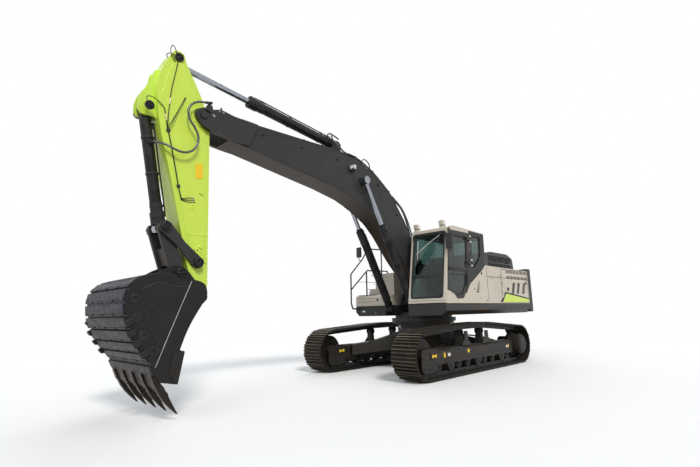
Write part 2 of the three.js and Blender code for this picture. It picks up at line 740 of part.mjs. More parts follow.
function makeEngineBay() {
  const wall = 900 - seatGap;
  const front = box(-wall, wall, bayFront, bayFront + 50, deckTop + seatGap, panelTop);
  const top = box(-wall, wall, bayFront, hood.front - 34, panelTop - 40, panelTop);
  const inner = hood.halfWidth - hood.wall + 14;
  const sides = bothSides(box(inner, wall, bayFront, deckRear - 1, deckTop + seatGap, panelTop));
  return join([front, top, sides]);
}

function makeEngine() {
  return box(-560, 560, 1900, 2850, deckTop + seatGap, 2330);
}

function hoodSection(inset, floor) {
  const { front, rear, base, top } = hood;
  return [
    [front + inset, floor], [rear - inset, floor], [rear - inset, base + 60],
    [rear - 60 - inset, top - 120 - inset, 50], [rear - 390, top - 4 - inset, 60],
    [front + 330, top - inset, 60], [front + inset, top - 60 - inset, 40],
  ];
}

function makeEngineHood() {
  const { base, front, halfWidth, wall } = hood;
  const outer = sidePlate(hoodSection(0, base), -halfWidth, halfWidth);
  const hollow = sidePlate(hoodSection(wall, base - 100), wall - halfWidth, halfWidth - wall);
  const slots = [0, 1].flatMap((row) => [0, 1, 2].map((i) => {
    const y = front + 380 + i * 370;
    const z = base + 90 + row * 170;
    return box(-halfWidth - 10, halfWidth + 10, y, y + 250, z, z + 110);
  }));
  const hinge = rodX(16, -halfWidth, halfWidth, hoodHinge, 12);
  const leaf = box(-halfWidth, halfWidth, hoodHinge.y, front + 30, hoodHinge.z - 12, hoodHinge.z + 12);
  return join([cut(outer, [hollow, ...slots]), hinge, leaf]);
}

const hoodHinge = vec(hood.front - 14, hood.base + 18);

const tankTop = 2310;

function makeFuelTank() {
  return planPlate([
    [-houseHalfWidth, -190, 70], [-560, -190, 40], [-560, 1000], [-houseHalfWidth, 1000],
  ], deckTop + seatGap, tankTop);
}

function makeToolBox() {
  const lower = sidePlate([
    [deckFrontRight, deckTop + seatGap, 0], [-200, deckTop + seatGap], [-200, 1745, 30],
    [deckFrontRight, 1745, 70],
  ], -houseHalfWidth, -bayHalfWidth - 14);
  const step = box(-1230, -760, -620, -200, 1700, 1910);
  const riser = box(-745, -bayHalfWidth - 14, -560, -200, 1700, 2290);
  return join([lower, step, riser]);
}

function makeHandrail() {
  const x = -1395;
  const lower = deckTop - 60;
  return join([
    barRun([[x + 90, deckFrontRight - 6, lower], [x + 30, -1130, lower], [x, -1150, 1560],
      [x, -1150, 2290], [x, -700, 2720], [x, -480, 3010], [x, 40, 3030], [x, 60, 2960],
      [x, 60, tankTop + seatGap]], 19),
    barRun([[x, -1150, 1890], [x, -530, 2420], [x, 300, 2440], [x, 320, 2400],
      [x, 320, tankTop + seatGap]], 19),
    barRun([[x, -560, 2400], [x, -560, 1745 + seatGap]], 19),
    barRun([[x, -780, 2643], [x - 10, -835, 2705], [x + 5, -835, 2780]], 11),
    planPlate([
      [x - 88, -855, 25], [x + 88, -880, 25], [x + 88, -820, 20], [x - 88, -790, 20],
    ], 2750, 3010),
  ]);
}

function makeMirrorLeft() {
  const x = houseHalfWidth;
  const foot = box(x + seatGap, x + 16, -905, -865, cabRoof - 62, cabRoof - 26);
  const arm = barRun([[x + 14, -885, 3120], [x + 60, -1030, 3080], [x + 90, -1050, 2960]], 11);
  const head = planPlate([
    [x + 14, -1085, 25], [x + 165, -1060, 25], [x + 160, -1000, 20], [x + 10, -1025, 20],
  ], 2640, 2990);
  return join([foot, arm, head]);
}

function upperStructure() {
  const group = new THREE.Group();
  const add = (name, solid, material) => group.add(piece(name, solid, material));
  add('slew_ring', rodZ(slewRingRadius, slewRingBottom, deckBottom - 60 - seatGap), charcoal);
  add('main_frame', makeMainFrame(), charcoal);
  add('counterweight', makeCounterweight(), charcoal);
  add('cab_shell', makeCabShell(), beige);
  add('windshield', makeWindshield(), glass);
  add('quarter_window', sidePane(quarterWindow, houseHalfWidth - 30), glass);
  add('right_window', sidePane(rightWindow, cabInner + 20), glass);
  add('rear_window', frontPlate(grown(rearWindow, -seatGap), cabRear - 28, cabRear - 20), glass);
  add('operator_station', makeOperatorStation(), rubber);
  add('seat_cushion', makeSeatCushion(), fabric);
  add('seat_back', makeSeatBack(), fabric);
  add('cab_door', makeCabDoor(), charcoal);
  add('door_glass', sidePane(doorWindow, houseHalfWidth - 30), glass);
  add('left_body', makeLeftBody(), beige);
  add('cab_side_panel', makeCabSidePanel(), beige);
  add('left_service_door', makeSideDoor(leftDoor, 1), beige);
  add('right_body', makeRightBody(), beige);
  add('right_service_door', makeSideDoor(leftDoor, -1), beige);
  add('engine_bay', makeEngineBay(), charcoal);
  add('engine_block', makeEngine(), steelDark);
  add('engine_hood', makeEngineHood(), charcoal);
  add('fuel_tank', makeFuelTank(), beige);
  add('tool_box', makeToolBox(), beige);
  add('handrail', makeHandrail(), charcoal);
  add('mirror_left', makeMirrorLeft(), rubber);
  return group;
}

// ---------------------------------------------------------------- front attachment

// A member's own frame: the pin that carries it is the origin, and the member
// runs forward along -Y. "reach" is along the member and "rise" is square to it.
const member = (corners) => corners.map(([reach, rise, round]) => [-reach, rise, round]);

function place(frame, reach, rise) {
  const angle = radians(frame.angle);
  return vec(
    frame.pin.y - reach * Math.cos(angle) + rise * Math.sin(angle),
    frame.pin.z + reach * Math.sin(angle) + rise * Math.cos(angle),
  );
}

const boomFrame = { pin: boomFoot, angle: boomRaise };
const stickPin = place(boomFrame, boomLength, 0);
const stickFrame = { pin: stickPin, angle: -(90 + stickLean) };
const bucketPin = place(stickFrame, stickLength, 0);
const bucketFrame = { pin: bucketPin, angle: -(90 - bucketLean) };

// Pins given in a member's own frame as [reach, rise].
const boomCylinderHead = [2950, 1135];
const stickCylinderBase = [3778, 1598];
const stickCylinderHead = [-895, 388];
const bucketCylinderBase = [49, 818];
const rockerPin = [2381, 34];
const rockerHead = [1862, 533];
const linkEnd = [-244, 413];

const stickPinRadius = 58;
const bucketPinRadius = 46;
const forkHalfWidth = stickHalfWidth + 7;
const forkOuter = forkHalfWidth + 82;

const at = ([reach, rise]) => vec(-reach, rise);

function eye(radius, x0, x1, place2d, sides = 14) {
  return rodX(radius, x0, x1, at(place2d), sides);
}

const boomCrown = [2565, 1929];
const boomShoulder = [boomLength - 742, 485];

// Rise of the boom's top between its crown and the shoulder behind its nose.
function boomTopRise(reach) {
  const share = (reach - boomCrown[0]) / (boomShoulder[0] - boomCrown[0]);
  return boomCrown[1] + (boomShoulder[1] - boomCrown[1]) * share;
}

function makeBoom() {
  const tip = boomLength;
  const body = sidePlate(member([
    [-150, 20, 120], [40, -170, 130], [971, 112, 260], [2488, 833, 1300], [tip - 694, -15, 200],
    [tip - 212, -158, 80], [tip - 40, -158, 110], [tip + 128, -60, 90], [tip + 112, 90, 90],
    [tip - 60, 190, 90], [...boomShoulder, 200], [...boomCrown, 1500], [0, 205, 150],
  ]), -boomHalfWidth, boomHalfWidth, 4);
  const cheeks = sidePlate(member([
    [tip - 900, 60, 40], [tip - 694, -12, 200], [tip - 212, -156, 80], [tip - 40, -156, 110],
    [tip + 126, -60, 90], [tip + 110, 90, 90], [tip - 62, 188, 90], [tip - 742, 480, 60],
    [tip - 900, 540, 40],
  ]), -forkOuter, forkOuter, 3);
  const slot = join([
    eye(580, -forkHalfWidth, forkHalfWidth, [tip, 0], 32),
    sidePlate(member([
      [tip, -700], [tip + 400, -700], [tip + 400, 700], [tip, 700],
    ]), -forkHalfWidth, forkHalfWidth),
  ]);
  const footBore = eye(footPinRadius + pinPlay, -400, 400, [0, 0]);
  const pin = eye(stickPinRadius, -forkOuter - 26, forkOuter + 26, [tip, 0]);
  const [earReach, earRise] = stickCylinderBase;
  const earFoot = (reach, depth) => [reach, boomTopRise(reach) - depth];
  const ears = bothSides(sidePlate(member([
    earFoot(earReach - 190, 77.8), [earReach - 90, earRise + 85, 80],
    [earReach + 100, earRise + 75, 90], earFoot(earReach + 110, 32.6),
  ]), 66, 66 + earThickness));
  const earPin = eye(44, -110, 110, stickCylinderBase);
  const bossFace = cylinderX - boomCylinder.rodEye - sidePlay;
  const bosses = bothSides(eye(96, boomHalfWidth - 10, bossFace, boomCylinderHead));
  const main = cut(body.add(cheeks), [slot, footBore]);
  return join([main, pin, ears, earPin, bosses]);
}

function makeStick() {
  const end = stickLength;
  const [kReach, kRise] = bucketCylinderBase;
  const body = sidePlate(member([
    [end + 118, -60, 70], [end + 118, 80, 80], [end - 260, 132, 60], [991, 489, 300],
    [317, 655, 200], [-309, 724, 180], [-656, 637, 100], [-1010, 460, 60], [-1000, 300, 60],
    [-860, 270, 50], [-730, 206, 60], [-299, -23, 260], [24, -118, 120], [225, -149, 60],
    [end - 140, -146, 90],
  ]), -stickHalfWidth, stickHalfWidth, 3);
  const fork = sidePlate(member([
    [-1300, 1000], [-1300, -300], [-690, -300], [-600, 220], [-740, 520], [-780, 1000],
  ]), -78, 78);
  const bracket = sidePlate(member([
    [-640, 640], [-590, 728, 40], [-440, 738, 80], [-150, 910, 90], [kReach - 20, kRise + 130, 90],
    [kReach + 120, kRise + 100, 90], [kReach + 100, kRise - 120, 80], [200, 640],
  ]), 64, 64 + earThickness);
  const kPin = eye(44, -108, 108, bucketCylinderBase);
  const topPinInner = stickCylinder.rodEye + sidePlay;
  const topPin = bothSides(eye(44, topPinInner, stickHalfWidth + 12, stickCylinderHead));
  const bores = [
    eye(stickPinRadius + pinPlay, -400, 400, [0, 0]),
    eye(bucketPinRadius + pinPlay, -400, 400, [end, 0]),
    eye(bucketPinRadius + pinPlay, -400, 400, rockerPin),
  ];
  return join([cut(body, [fork, ...bores]), bothSides(bracket), kPin, topPin]);
}

// Distances and aim of a cylinder between two points of the parked machine.
function aim(from, to) {
  const dy = from.y - to.y;
  const dz = to.z - from.z;
  return { length: Math.hypot(dy, dz), angle: THREE.MathUtils.radToDeg(Math.atan2(dz, dy)) };
}

// Barrel with a blind bore that opens at the gland, along local -Y from its pin.
function makeBarrel(size, eyeHalfWidth, pinRadius) {
  const base = rodX(size.bore, -eyeHalfWidth, eyeHalfWidth, vec(0, 0));
  const neck = box(-eyeHalfWidth, eyeHalfWidth, -barrelStart - 20, 0, -size.bore * 0.8, size.bore * 0.8);
  const tube = rodForward(size.bore, barrelStart, size.barrel - 10);
  const gland = rodForward(size.bore + glandStep, size.barrel - 190, size.barrel);
  const throat = rodForward(size.rod + pinPlay, size.barrel - 200, size.barrel + 5);
  const bore = rodForward(size.bore - 14, barrelStart + 30, size.barrel - 130);
  const pinBore = rodX(pinRadius + pinPlay, -200, 200, vec(0, 0));
  return cut(join([base, neck, tube, gland]), [bore, throat, pinBore]);
}

// Rod with its piston inside the barrel and its eye at "reach" from the barrel's pin.
// The piston stands clear of the barrel's base by what the parked cylinder can still retract.
function makeRod(size, reach) {
  const eyeRadius = size.bore + 2;
  const pistonFront = barrelStart + 40 + size.retract;
  const shaft = rodForward(size.rod, pistonFront, reach - eyeRadius * 0.5);
  const piston = rodForward(size.bore - 14 - pinPlay, pistonFront, pistonFront + pistonLength);
  const end = rodX(eyeRadius, -size.rodEye, size.rodEye, vec(-reach, 0));
  return join([shaft, piston, end]);
}

const linkPlate = { inner: 150, outer: 199 };
const rockerWaist = 62; // half width of a rocker plate midway between its pins

function makeRocker() {
  const arm = aim(vec(-rockerPin[0], rockerPin[1]), vec(-rockerHead[0], rockerHead[1]));
  const plate = bar2d(arm.length, 92, 96, rockerWaist);
  const x0 = stickHalfWidth + sidePlay + 6;
  const plates = bothSides(sidePlate(plate, x0, x0 + 40));
  const pin = rodX(bucketPinRadius, -x0 - 70, x0 + 70, vec(0, 0));
  const head = vec(-arm.length, 0);
  const headPins = bothSides(rodX(bucketPinRadius, linkPlate.inner, x0 + 60, head));
  const collars = bothSides(rodX(70, linkPlate.outer + sidePlay, x0 + 2, head));
  return join([plates, pin, headPins, collars]);
}

// Plate with round ends about two pins, the second at -Y, drawn in to "waist" between them.
function bar2d(length, radius0, radius1, waist = (radius0 + radius1) / 2) {
  const bend = 2 * waist - (radius0 + radius1) / 2;
  const shape = new THREE.Shape();
  shape.absarc(0, 0, radius0, -Math.PI / 2, Math.PI / 2, false);
  shape.quadraticCurveTo(-length / 2, bend, -length, radius1);
  shape.absarc(-length, 0, radius1, Math.PI / 2, (3 * Math.PI) / 2, false);
  shape.quadraticCurveTo(-length / 2, -bend, 0, -radius0);
  return shape;
}

function makeLink(length) {
  const plates = bothSides(sidePlate(bar2d(length, 100, 104), linkPlate.inner, linkPlate.outer));
  const eyeFace = bucketCylinder.rodEye + sidePlay;
  const bosses = bothSides(rodX(72, eyeFace, linkPlate.inner + 2, vec(0, 0)));
  const cross = sidePlate([
    [-length * 0.42, -62], [-length * 0.42, 62], [-length + 150, 62], [-length + 150, -62],
  ], -152, 152);
  const bores = [
    rodX(bucketPinRadius + pinPlay, -400, 400, vec(0, 0)),
    rodX(bucketPinRadius + pinPlay, -400, 400, vec(-length, 0)),
  ];
  return cut(join([plates, cross, bosses]), bores);
}

const bucketBack = [
  [-90, 455], [-60, 830], [20, 1000, 60], [150, 1165, 130], [420, 1165, 160], [800, 925, 160],
  [1030, 610, 90], [1120, 545, 40],
];

const lipStart = 1112;

function makeBucket() {
  const side = member([
    [-122, 340, 40], [-110, 210, 60], [30, 130, 60], [495, 262, 200], [815, 280],
    [828, 224], [1152, 176], [1236, 176], [1250, 400], ...[...bucketBack].reverse(),
  ]);
  const inner = member([
    [-40, -200], [-40, 500, 60], [0, 800, 60], [70, 975, 60], [170, 1110, 120],
    [405, 1115, 160], [762, 900, 160], [985, 590, 60], [lipStart, 498], [lipStart, 700],
    [1500, 700], [1500, -200],
  ]);
  const shell = sidePlate(side, -bucketHalfWidth, bucketHalfWidth, 3);
  const hollow = sidePlate(inner, bucketWall - bucketHalfWidth, bucketHalfWidth - bucketWall, 3);
  const earX = forkHalfWidth + 1;
  const ears = bothSides(sidePlate(member([
    [140, -60, 80], [-60, -140, 100], [-200, 120, 60], [-370, 380, 110], [-310, 560, 100],
    [-50, 800, 60], [60, 800], [60, 400, 120], [150, 150, 80],
  ]), earX, earX + 46));
  const pin = rodX(bucketPinRadius, -earX - 66, earX + 66, vec(0, 0));
  const bowl = cut(shell, [hollow]);
  return join([bowl, ears, pin]);
}

// Lip plate with its five teeth.
const toothCount = 5;

function makeLip() {
  const lip = sidePlate(member([
    [lipStart + seatGap, 500], [1290, 345], [1340, 270], [1368, 300], [1300, 400],
    [lipStart + seatGap, 548],
  ]), bucketWall - bucketHalfWidth + seatGap, bucketHalfWidth - bucketWall - seatGap);
  const tooth = sidePlate(member([
    [1200, 440], [1310, 290], [1400, 205], [bucketTip, 0], [bucketTip, 26], [1460, 250],
    [1300, 420], [1215, 480],
  ]), -56, 56);
  const pitch = (2 * (bucketHalfWidth - 96)) / (toothCount - 1);
  const teeth = Array.from({ length: toothCount }, (_, i) => (
    tooth.translate([(i - (toothCount - 1) / 2) * pitch, 0, 0])
  ));
  return join([lip, ...teeth]);
}

// Hydraulic hose from the boom tip to the bucket cylinder, hanging in an S
// beside the stick. Points are [x, y, z] about the swing axis.
const hoseRadius = 18;
const hoseRoute = [
  [325, -6131, 4711], [325, -6241, 4686], [325, -6339, 4625], [325, -6396, 4534],
  [325, -6406, 4440], [325, -6365, 4325], [325, -6291, 4232], [325, -6235, 4132],
  [325, -6220, 4034], [325, -6243, 3938], [325, -6306, 3846], [325, -6401, 3790],
  [325, -6508, 3781], [310, -6620, 3817], [270, -6709, 3860], [210, -6788, 3886],
  [165, -6822, 3890],
];

// Short straight fitting that meets the hose at "end", run on from its next point.
function hoseFitting(end, next, length) {
  const point = new THREE.Vector3(...end);
  const away = point.clone().sub(new THREE.Vector3(...next)).normalize();
  const near = point.clone().addScaledVector(away, seatGap);
  const far = point.clone().addScaledVector(away, length);
  return barRun([near.toArray(), far.toArray()], hoseRadius + 6, 10);
}

// A solid laid out about the swing axis, brought into a member's own frame.
function intoFrame(solid, frame) {
  return solid.translate([0, -frame.pin.y, -frame.pin.z]).rotate([frame.angle, 0, 0]);
}

function boomHosePort() {
  const plate = sidePlate(member([
    [boomLength - 130, 120], [boomLength + 30, 100], [boomLength + 30, 215, 20],
    [boomLength - 40, 232, 20],
  ]), forkOuter - 20, forkOuter + 26);
  const fitting = hoseFitting(hoseRoute[0], hoseRoute[1], 110);
  return plate.add(intoFrame(fitting, boomFrame));
}

function barrelHosePort(frame) {
  const [x, y, z] = hoseRoute.at(-1);
  const elbow = hoseFitting(hoseRoute.at(-1), hoseRoute.at(-2), 62);
  const stem = rodX(hoseRadius + 6, bucketCylinder.bore - 8, x - 30, vec(y - 28, z));
  return intoFrame(elbow.add(stem), frame);
}

// A barrel turns about its pin at "from", and its rod's eye lies at "to".
function makeCylinder(name, size, from, to, x, eyeHalfWidth, pinRadius, makePort) {
  const line = aim(from, to);
  const group = new THREE.Group();
  group.position.set(x, from.y, from.z);
  group.rotation.x = -radians(line.angle);
  const barrel = makeBarrel(size, eyeHalfWidth, pinRadius);
  const ported = makePort ? barrel.add(makePort({ pin: from, angle: line.angle })) : barrel;
  group.add(piece(`${name}_barrel`, ported, charcoal));
  group.add(piece(`${name}_rod`, makeRod(size, line.length), chrome));
  return group;
}

function frontAttachment() {
  const group = new THREE.Group();
  const mount = (frame, name, solid, material) => {
    const holder = new THREE.Group();
    holder.position.set(0, frame.pin.y, frame.pin.z);
    holder.rotation.x = -radians(frame.angle);
    holder.add(piece(name, solid, material));
    group.add(holder);
  };
  mount(boomFrame, 'boom', makeBoom().add(boomHosePort()), charcoal);
  mount(stickFrame, 'stick', makeStick(), lime);
  mount(bucketFrame, 'bucket', makeBucket(), steelDark);
  mount(bucketFrame, 'bucket_lip', makeLip(), steelDark);
  group.add(piece('stick_hose', bentTube(hoseRoute, hoseRadius, 48), rubber));
  const rocker = aim(pins.rockerPin, pins.rockerHead);
  mount({ pin: pins.rockerPin, angle: rocker.angle }, 'rocker', makeRocker(), charcoal);
  const link = aim(pins.rockerHead, pins.linkEnd);
  mount({ pin: pins.rockerHead, angle: link.angle }, 'h_link', makeLink(link.length), charcoal);
  const { boomCylinderHead: boomEye, stickCylinderBase: stickBase } = pins;
  const boomEyeHalf = cylinderX - (boomHalfWidth + 12 + earThickness) - sidePlay;
  const cylinders = [
    ['boom_cylinder_left', boomCylinder, basePin, boomEye, cylinderX, boomEyeHalf, basePinRadius],
    ['boom_cylinder_right', boomCylinder, basePin, boomEye, -cylinderX, boomEyeHalf, basePinRadius],
    ['stick_cylinder', stickCylinder, stickBase, pins.stickCylinderHead, 0, 62, 44],
    [
      'bucket_cylinder', bucketCylinder, pins.bucketCylinderBase, pins.rockerHead, 0, 60, 44,
      barrelHosePort,
    ],
  ];
  cylinders.forEach((spec) => group.add(makeCylinder(...spec)));
  return group;
}

// ---------------------------------------------------------------- pins and assembly

const pins = {
  boomFoot,
  boomCylinderBase: basePin,
  boomCylinderHead: place(boomFrame, ...boomCylinderHead),
  stickPin,
  stickCylinderBase: place(boomFrame, ...stickCylinderBase),
  stickCylinderHead: place(stickFrame, ...stickCylinderHead),
  bucketCylinderBase: place(stickFrame, ...bucketCylinderBase),
  rockerPin: place(stickFrame, ...rockerPin),
  rockerHead: place(stickFrame, ...rockerHead),
  bucketPin,
  linkEnd: place(bucketFrame, ...linkEnd),
  hoodHinge,
};

const machine = new THREE.Group();
machine.add(undercarriage(), upperStructure(), frontAttachment());
machine.updateMatrixWorld(true);
const extent = new THREE.Box3().setFromObject(machine, true);
const middle = extent.getCenter(new THREE.Vector3());
machine.position.set(-middle.x, -middle.y, -extent.min.z);
machine.updateMatrixWorld(true);

export const layout = { pins, doorHinge, sideHinge, shift: machine.position, cylinderX };
export default machine;
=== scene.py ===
"""A crawler excavator: the finish of every part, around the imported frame. Metres, +Z up, facing -Y."""
import json
import math

import bmesh
import bpy
import numpy as np
from mathutils import Matrix, Vector


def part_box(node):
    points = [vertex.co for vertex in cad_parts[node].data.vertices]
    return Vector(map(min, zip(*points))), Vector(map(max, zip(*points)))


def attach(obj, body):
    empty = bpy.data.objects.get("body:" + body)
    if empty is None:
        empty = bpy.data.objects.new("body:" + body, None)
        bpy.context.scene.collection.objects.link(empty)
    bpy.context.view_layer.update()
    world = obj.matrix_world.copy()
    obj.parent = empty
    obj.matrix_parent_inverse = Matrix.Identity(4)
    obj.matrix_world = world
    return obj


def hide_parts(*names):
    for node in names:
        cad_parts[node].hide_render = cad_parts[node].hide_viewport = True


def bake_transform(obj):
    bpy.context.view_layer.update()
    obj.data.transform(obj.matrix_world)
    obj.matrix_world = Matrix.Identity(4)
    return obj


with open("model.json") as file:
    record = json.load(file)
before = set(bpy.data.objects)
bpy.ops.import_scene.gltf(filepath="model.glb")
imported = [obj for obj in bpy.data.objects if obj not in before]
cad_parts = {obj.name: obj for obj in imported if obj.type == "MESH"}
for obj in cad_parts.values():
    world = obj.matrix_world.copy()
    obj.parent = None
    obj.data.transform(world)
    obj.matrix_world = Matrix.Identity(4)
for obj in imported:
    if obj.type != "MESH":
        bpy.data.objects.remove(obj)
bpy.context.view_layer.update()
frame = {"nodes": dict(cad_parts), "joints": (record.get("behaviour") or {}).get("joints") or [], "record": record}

JOINTS = {joint["name"]: joint for joint in frame["joints"]}
SWING_Y = JOINTS["swing"]["pos_m"][1]

# ---------------------------------------------------------------- camera

CAMERA_PLACE = (6.6806, SWING_Y - 9.2253, 1.3242)
CAMERA_HEADING = math.radians(43.3625)
CAMERA_PITCH = math.radians(11.6121)
CAMERA_ROLL = math.radians(-1.2557)
CAMERA_LENS = 22.70
CAMERA_SHIFT = (-0.0177, -0.0170)


def make_camera():
    """A wide lens near the ground at the front left corner, looking up at the stick."""
    flat = math.cos(CAMERA_PITCH)
    ahead = Vector((
        -math.sin(CAMERA_HEADING) * flat, math.cos(CAMERA_HEADING) * flat, math.sin(CAMERA_PITCH),
    ))
    right = ahead.cross(Vector((0, 0, 1))).normalized()
    up = right.cross(ahead)
    roll_right = right * math.cos(CAMERA_ROLL) + up * math.sin(CAMERA_ROLL)
    roll_up = up * math.cos(CAMERA_ROLL) - right * math.sin(CAMERA_ROLL)
    data = bpy.data.cameras.new("camera")
    data.lens = CAMERA_LENS
    data.shift_x, data.shift_y = CAMERA_SHIFT
    camera = bpy.data.objects.new("camera", data)
    turn = Matrix((roll_right, roll_up, -ahead)).transposed().to_4x4()
    camera.matrix_world = Matrix.Translation(CAMERA_PLACE) @ turn
    bpy.context.collection.objects.link(camera)
    bpy.context.scene.camera = camera


# ---------------------------------------------------------------- materials

def srgb(red, green, blue):
    """Linear colour of an 8-bit sRGB triple."""
    linear = []
    for value in (red, green, blue):
        share = value / 255
        linear.append(share / 12.92 if share < 0.04045 else ((share + 0.055) / 1.055) ** 2.4)
    return (*linear, 1.0)


class Finish:
    """A node-based material, built up around its Principled shader."""

    def __init__(self, name):
        self.name = name
        self.material = bpy.data.materials.new(f"finish_{name}")
        self.material.use_nodes = True
        self.tree = self.material.node_tree
        self.shader = self.tree.nodes["Principled BSDF"]
        self.coords = self.add("ShaderNodeTexCoord").outputs["Object"]

    def feed(self, socket, value):
        if isinstance(value, bpy.types.NodeSocket):
            self.tree.links.new(value, socket)
        else:
            socket.default_value = value

    def add(self, kind, inputs=None, **settings):
        node = self.tree.nodes.new(kind)
        for key, value in settings.items():
            setattr(node, key, value)
        for key, value in (inputs or {}).items():
            self.feed(node.inputs[key], value)
        return node

    def noise(self, scale, detail=4.0, stretch=(1, 1, 1)):
        """Noise from 0 to 1 in the object's own space, drawn out along an axis by stretch."""
        mapped = self.add("ShaderNodeMapping", {"Vector": self.coords, "Scale": stretch})
        inputs = {"Vector": mapped.outputs[0], "Scale": scale, "Detail": detail}
        return self.add("ShaderNodeTexNoise", inputs).outputs["Fac"]

    def between(self, value, low, high, out_low=0.0, out_high=1.0):
        """Straight-line map of a value, clamped at both ends."""
        inputs = {
            "Value": value, "From Min": low, "From Max": high, "To Min": out_low, "To Max": out_high,
        }
        return self.add("ShaderNodeMapRange", inputs).outputs["Result"]

    def maths(self, operation, first, second):
        return self.add("ShaderNodeMath", {0: first, 1: second}, operation=operation).outputs[0]

    def mix(self, share, first, second):
        node = self.add("ShaderNodeMix", {0: share, 6: first, 7: second}, data_type="RGBA")
        return node.outputs[2]

    def facing_up(self):
        """1 on what faces the sky, 0 on walls and undersides."""
        normal = self.add("ShaderNodeNewGeometry").outputs["Normal"]
        height = self.add("ShaderNodeSeparateXYZ", {"Vector": normal}).outputs["Z"]
        return self.between(height, 0.25, 0.95)

    def facing_down(self):
        """1 on undersides, 0 on walls and tops."""
        normal = self.add("ShaderNodeNewGeometry").outputs["Normal"]
        height = self.add("ShaderNodeSeparateXYZ", {"Vector": normal}).outputs["Z"]
        return self.between(height, -0.05, -0.45)

    def edges(self, low=0.52, high=0.60):
        """1 on outward edges, from the mesh's own curvature."""
        point = self.add("ShaderNodeNewGeometry").outputs["Pointiness"]
        return self.between(point, low, high)

    def bump(self, height, distance, strength=1.0):
        inputs = {"Height": height, "Distance": distance, "Strength": strength}
        node = self.add("ShaderNodeBump", inputs)
        before = self.shader.inputs["Normal"]
        if before.is_linked:
            self.tree.links.new(before.links[0].from_socket, node.inputs["Normal"])
        self.tree.links.new(node.outputs["Normal"], before)

    def set(self, **values):
        """Uniform values, on the shader's own sockets."""
        for key, value in values.items():
            self.shader.inputs[key.replace("_", " ")].default_value = value
        return self


def shade(colour, factor):
    return (*(min(1.0, channel * factor) for channel in colour[:3]), 1.0)


# Warm brown mixed onto downward faces: painted ground bounce, the light the ground reflects up.
PAINTED_BOUNCE_TINT = (74, 62, 50)
METAL_PIT = 0.0012


def painted(
    name, colour, rough=0.42, tone=0.09, peel=0.0006, dust=0.0, dirt=(96, 84, 68), coat=0.0, painted_bounce=0.0,
):
    """Sprayed paint: slow drift in tone, orange peel, settled dust, rubbed edges, and undersides tinted brown as
    painted ground bounce.
    """
    finish = Finish(name)
    drift = finish.between(finish.noise(1.7), 0.3, 0.7)
    base = finish.mix(drift, shade(colour, 1 - tone), shade(colour, 1 + tone))
    streaks = finish.between(finish.noise(9.0, 5.0, (1, 1, 0.22)), 0.52, 0.74, 0.0, 0.16)
    base = finish.mix(streaks, base, shade(colour, 0.72))
    rubbed = finish.maths(
        "MULTIPLY", finish.edges(), finish.between(finish.noise(38.0), 0.42, 0.6, 0, 0.4)
    )
    base = finish.mix(rubbed, base, shade(colour, 1.5))
    if dust:
        patches = finish.between(finish.noise(3.3, 7.0), 0.28, 0.72, 0.15, 1.0)
        settled = finish.maths("MULTIPLY", patches, finish.maths("ADD", finish.facing_up(), 0.32))
        base = finish.mix(finish.maths("MULTIPLY", settled, dust), base, srgb(*dirt))
    # Painted ground bounce: undersides pulled toward a warm brown.
    if painted_bounce:
        base = finish.mix(
            finish.maths("MULTIPLY", finish.facing_down(), painted_bounce), base, srgb(*PAINTED_BOUNCE_TINT)
        )
    finish.feed(finish.shader.inputs["Base Color"], base)
    roughness = finish.between(finish.noise(24.0, 6.0), 0.3, 0.7, rough - 0.05, rough + 0.09)
    finish.feed(finish.shader.inputs["Roughness"], roughness)
    finish.bump(finish.noise(210.0, 2.0), peel, 0.55)
    finish.bump(finish.noise(6.0, 3.0), peel * 2.5, 0.35)
    return finish.set(
        Coat_Weight=coat, Coat_Roughness=0.16, Specular_IOR_Level=0.5 if coat else 0.25
    )


def worn_metal(
    name, colour, polish, rough=0.4, metal=0.75, grain=(1, 1, 1), low=0.42, high=0.62, painted_bounce=0.0,
):
    """Bare or worn steel: dark scale with polished patches and edges, fine pits, and undersides tinted brown as
    painted ground bounce.
    """
    finish = Finish(name)
    patches = finish.between(finish.noise(5.0, 9.0, grain), low, high)
    base = finish.mix(patches, colour, polish)
    fine = finish.between(finish.noise(70.0, 6.0, grain), 0.35, 0.65)
    base = finish.mix(finish.maths("MULTIPLY", fine, 0.45), base, shade(colour, 0.55))
    base = finish.mix(
        finish.maths("MULTIPLY", finish.edges(0.51, 0.58), 0.55), base, shade(polish, 1.35)
    )
    # Painted ground bounce: undersides pulled toward a warm brown.
    if painted_bounce:
        base = finish.mix(
            finish.maths("MULTIPLY", finish.facing_down(), painted_bounce), base, srgb(*PAINTED_BOUNCE_TINT)
        )
    finish.feed(finish.shader.inputs["Base Color"], base)
    roughness = finish.between(finish.noise(16.0, 8.0, grain), 0.3, 0.7, rough + 0.14, rough - 0.1)
    finish.feed(finish.shader.inputs["Roughness"], roughness)
    finish.bump(finish.noise(95.0, 5.0, grain), METAL_PIT, 0.7)
    return finish.set(Metallic=metal, Specular_IOR_Level=0.2)


def moulded(name, colour, rough=0.55, grain=260.0, depth=0.0005, tone=0.16, sheen=0.0):
    """Moulded plastic or rubber with a fine grain and faint handling marks."""
    finish = Finish(name)
    base = finish.mix(
        finish.between(finish.noise(7.0, 6.0), 0.3, 0.7), shade(colour, 1 - tone),
        shade(colour, 1 + tone)
    )
    finish.feed(finish.shader.inputs["Base Color"], base)
    finish.feed(
        finish.shader.inputs["Roughness"],
        finish.between(finish.noise(30.0), 0.3, 0.7, rough - 0.08, rough + 0.08)
    )
    finish.bump(finish.noise(grain, 3.0), depth, 0.8)
    return finish.set(Sheen_Weight=sheen)


def hose_cover():
    """Black rubber hose with a fine grain on its cover."""
    finish = moulded("hose_cover", srgb(66, 67, 70), 0.30, 120.0, 0.0008)
    return finish.set(Specular_IOR_Level=0.9)


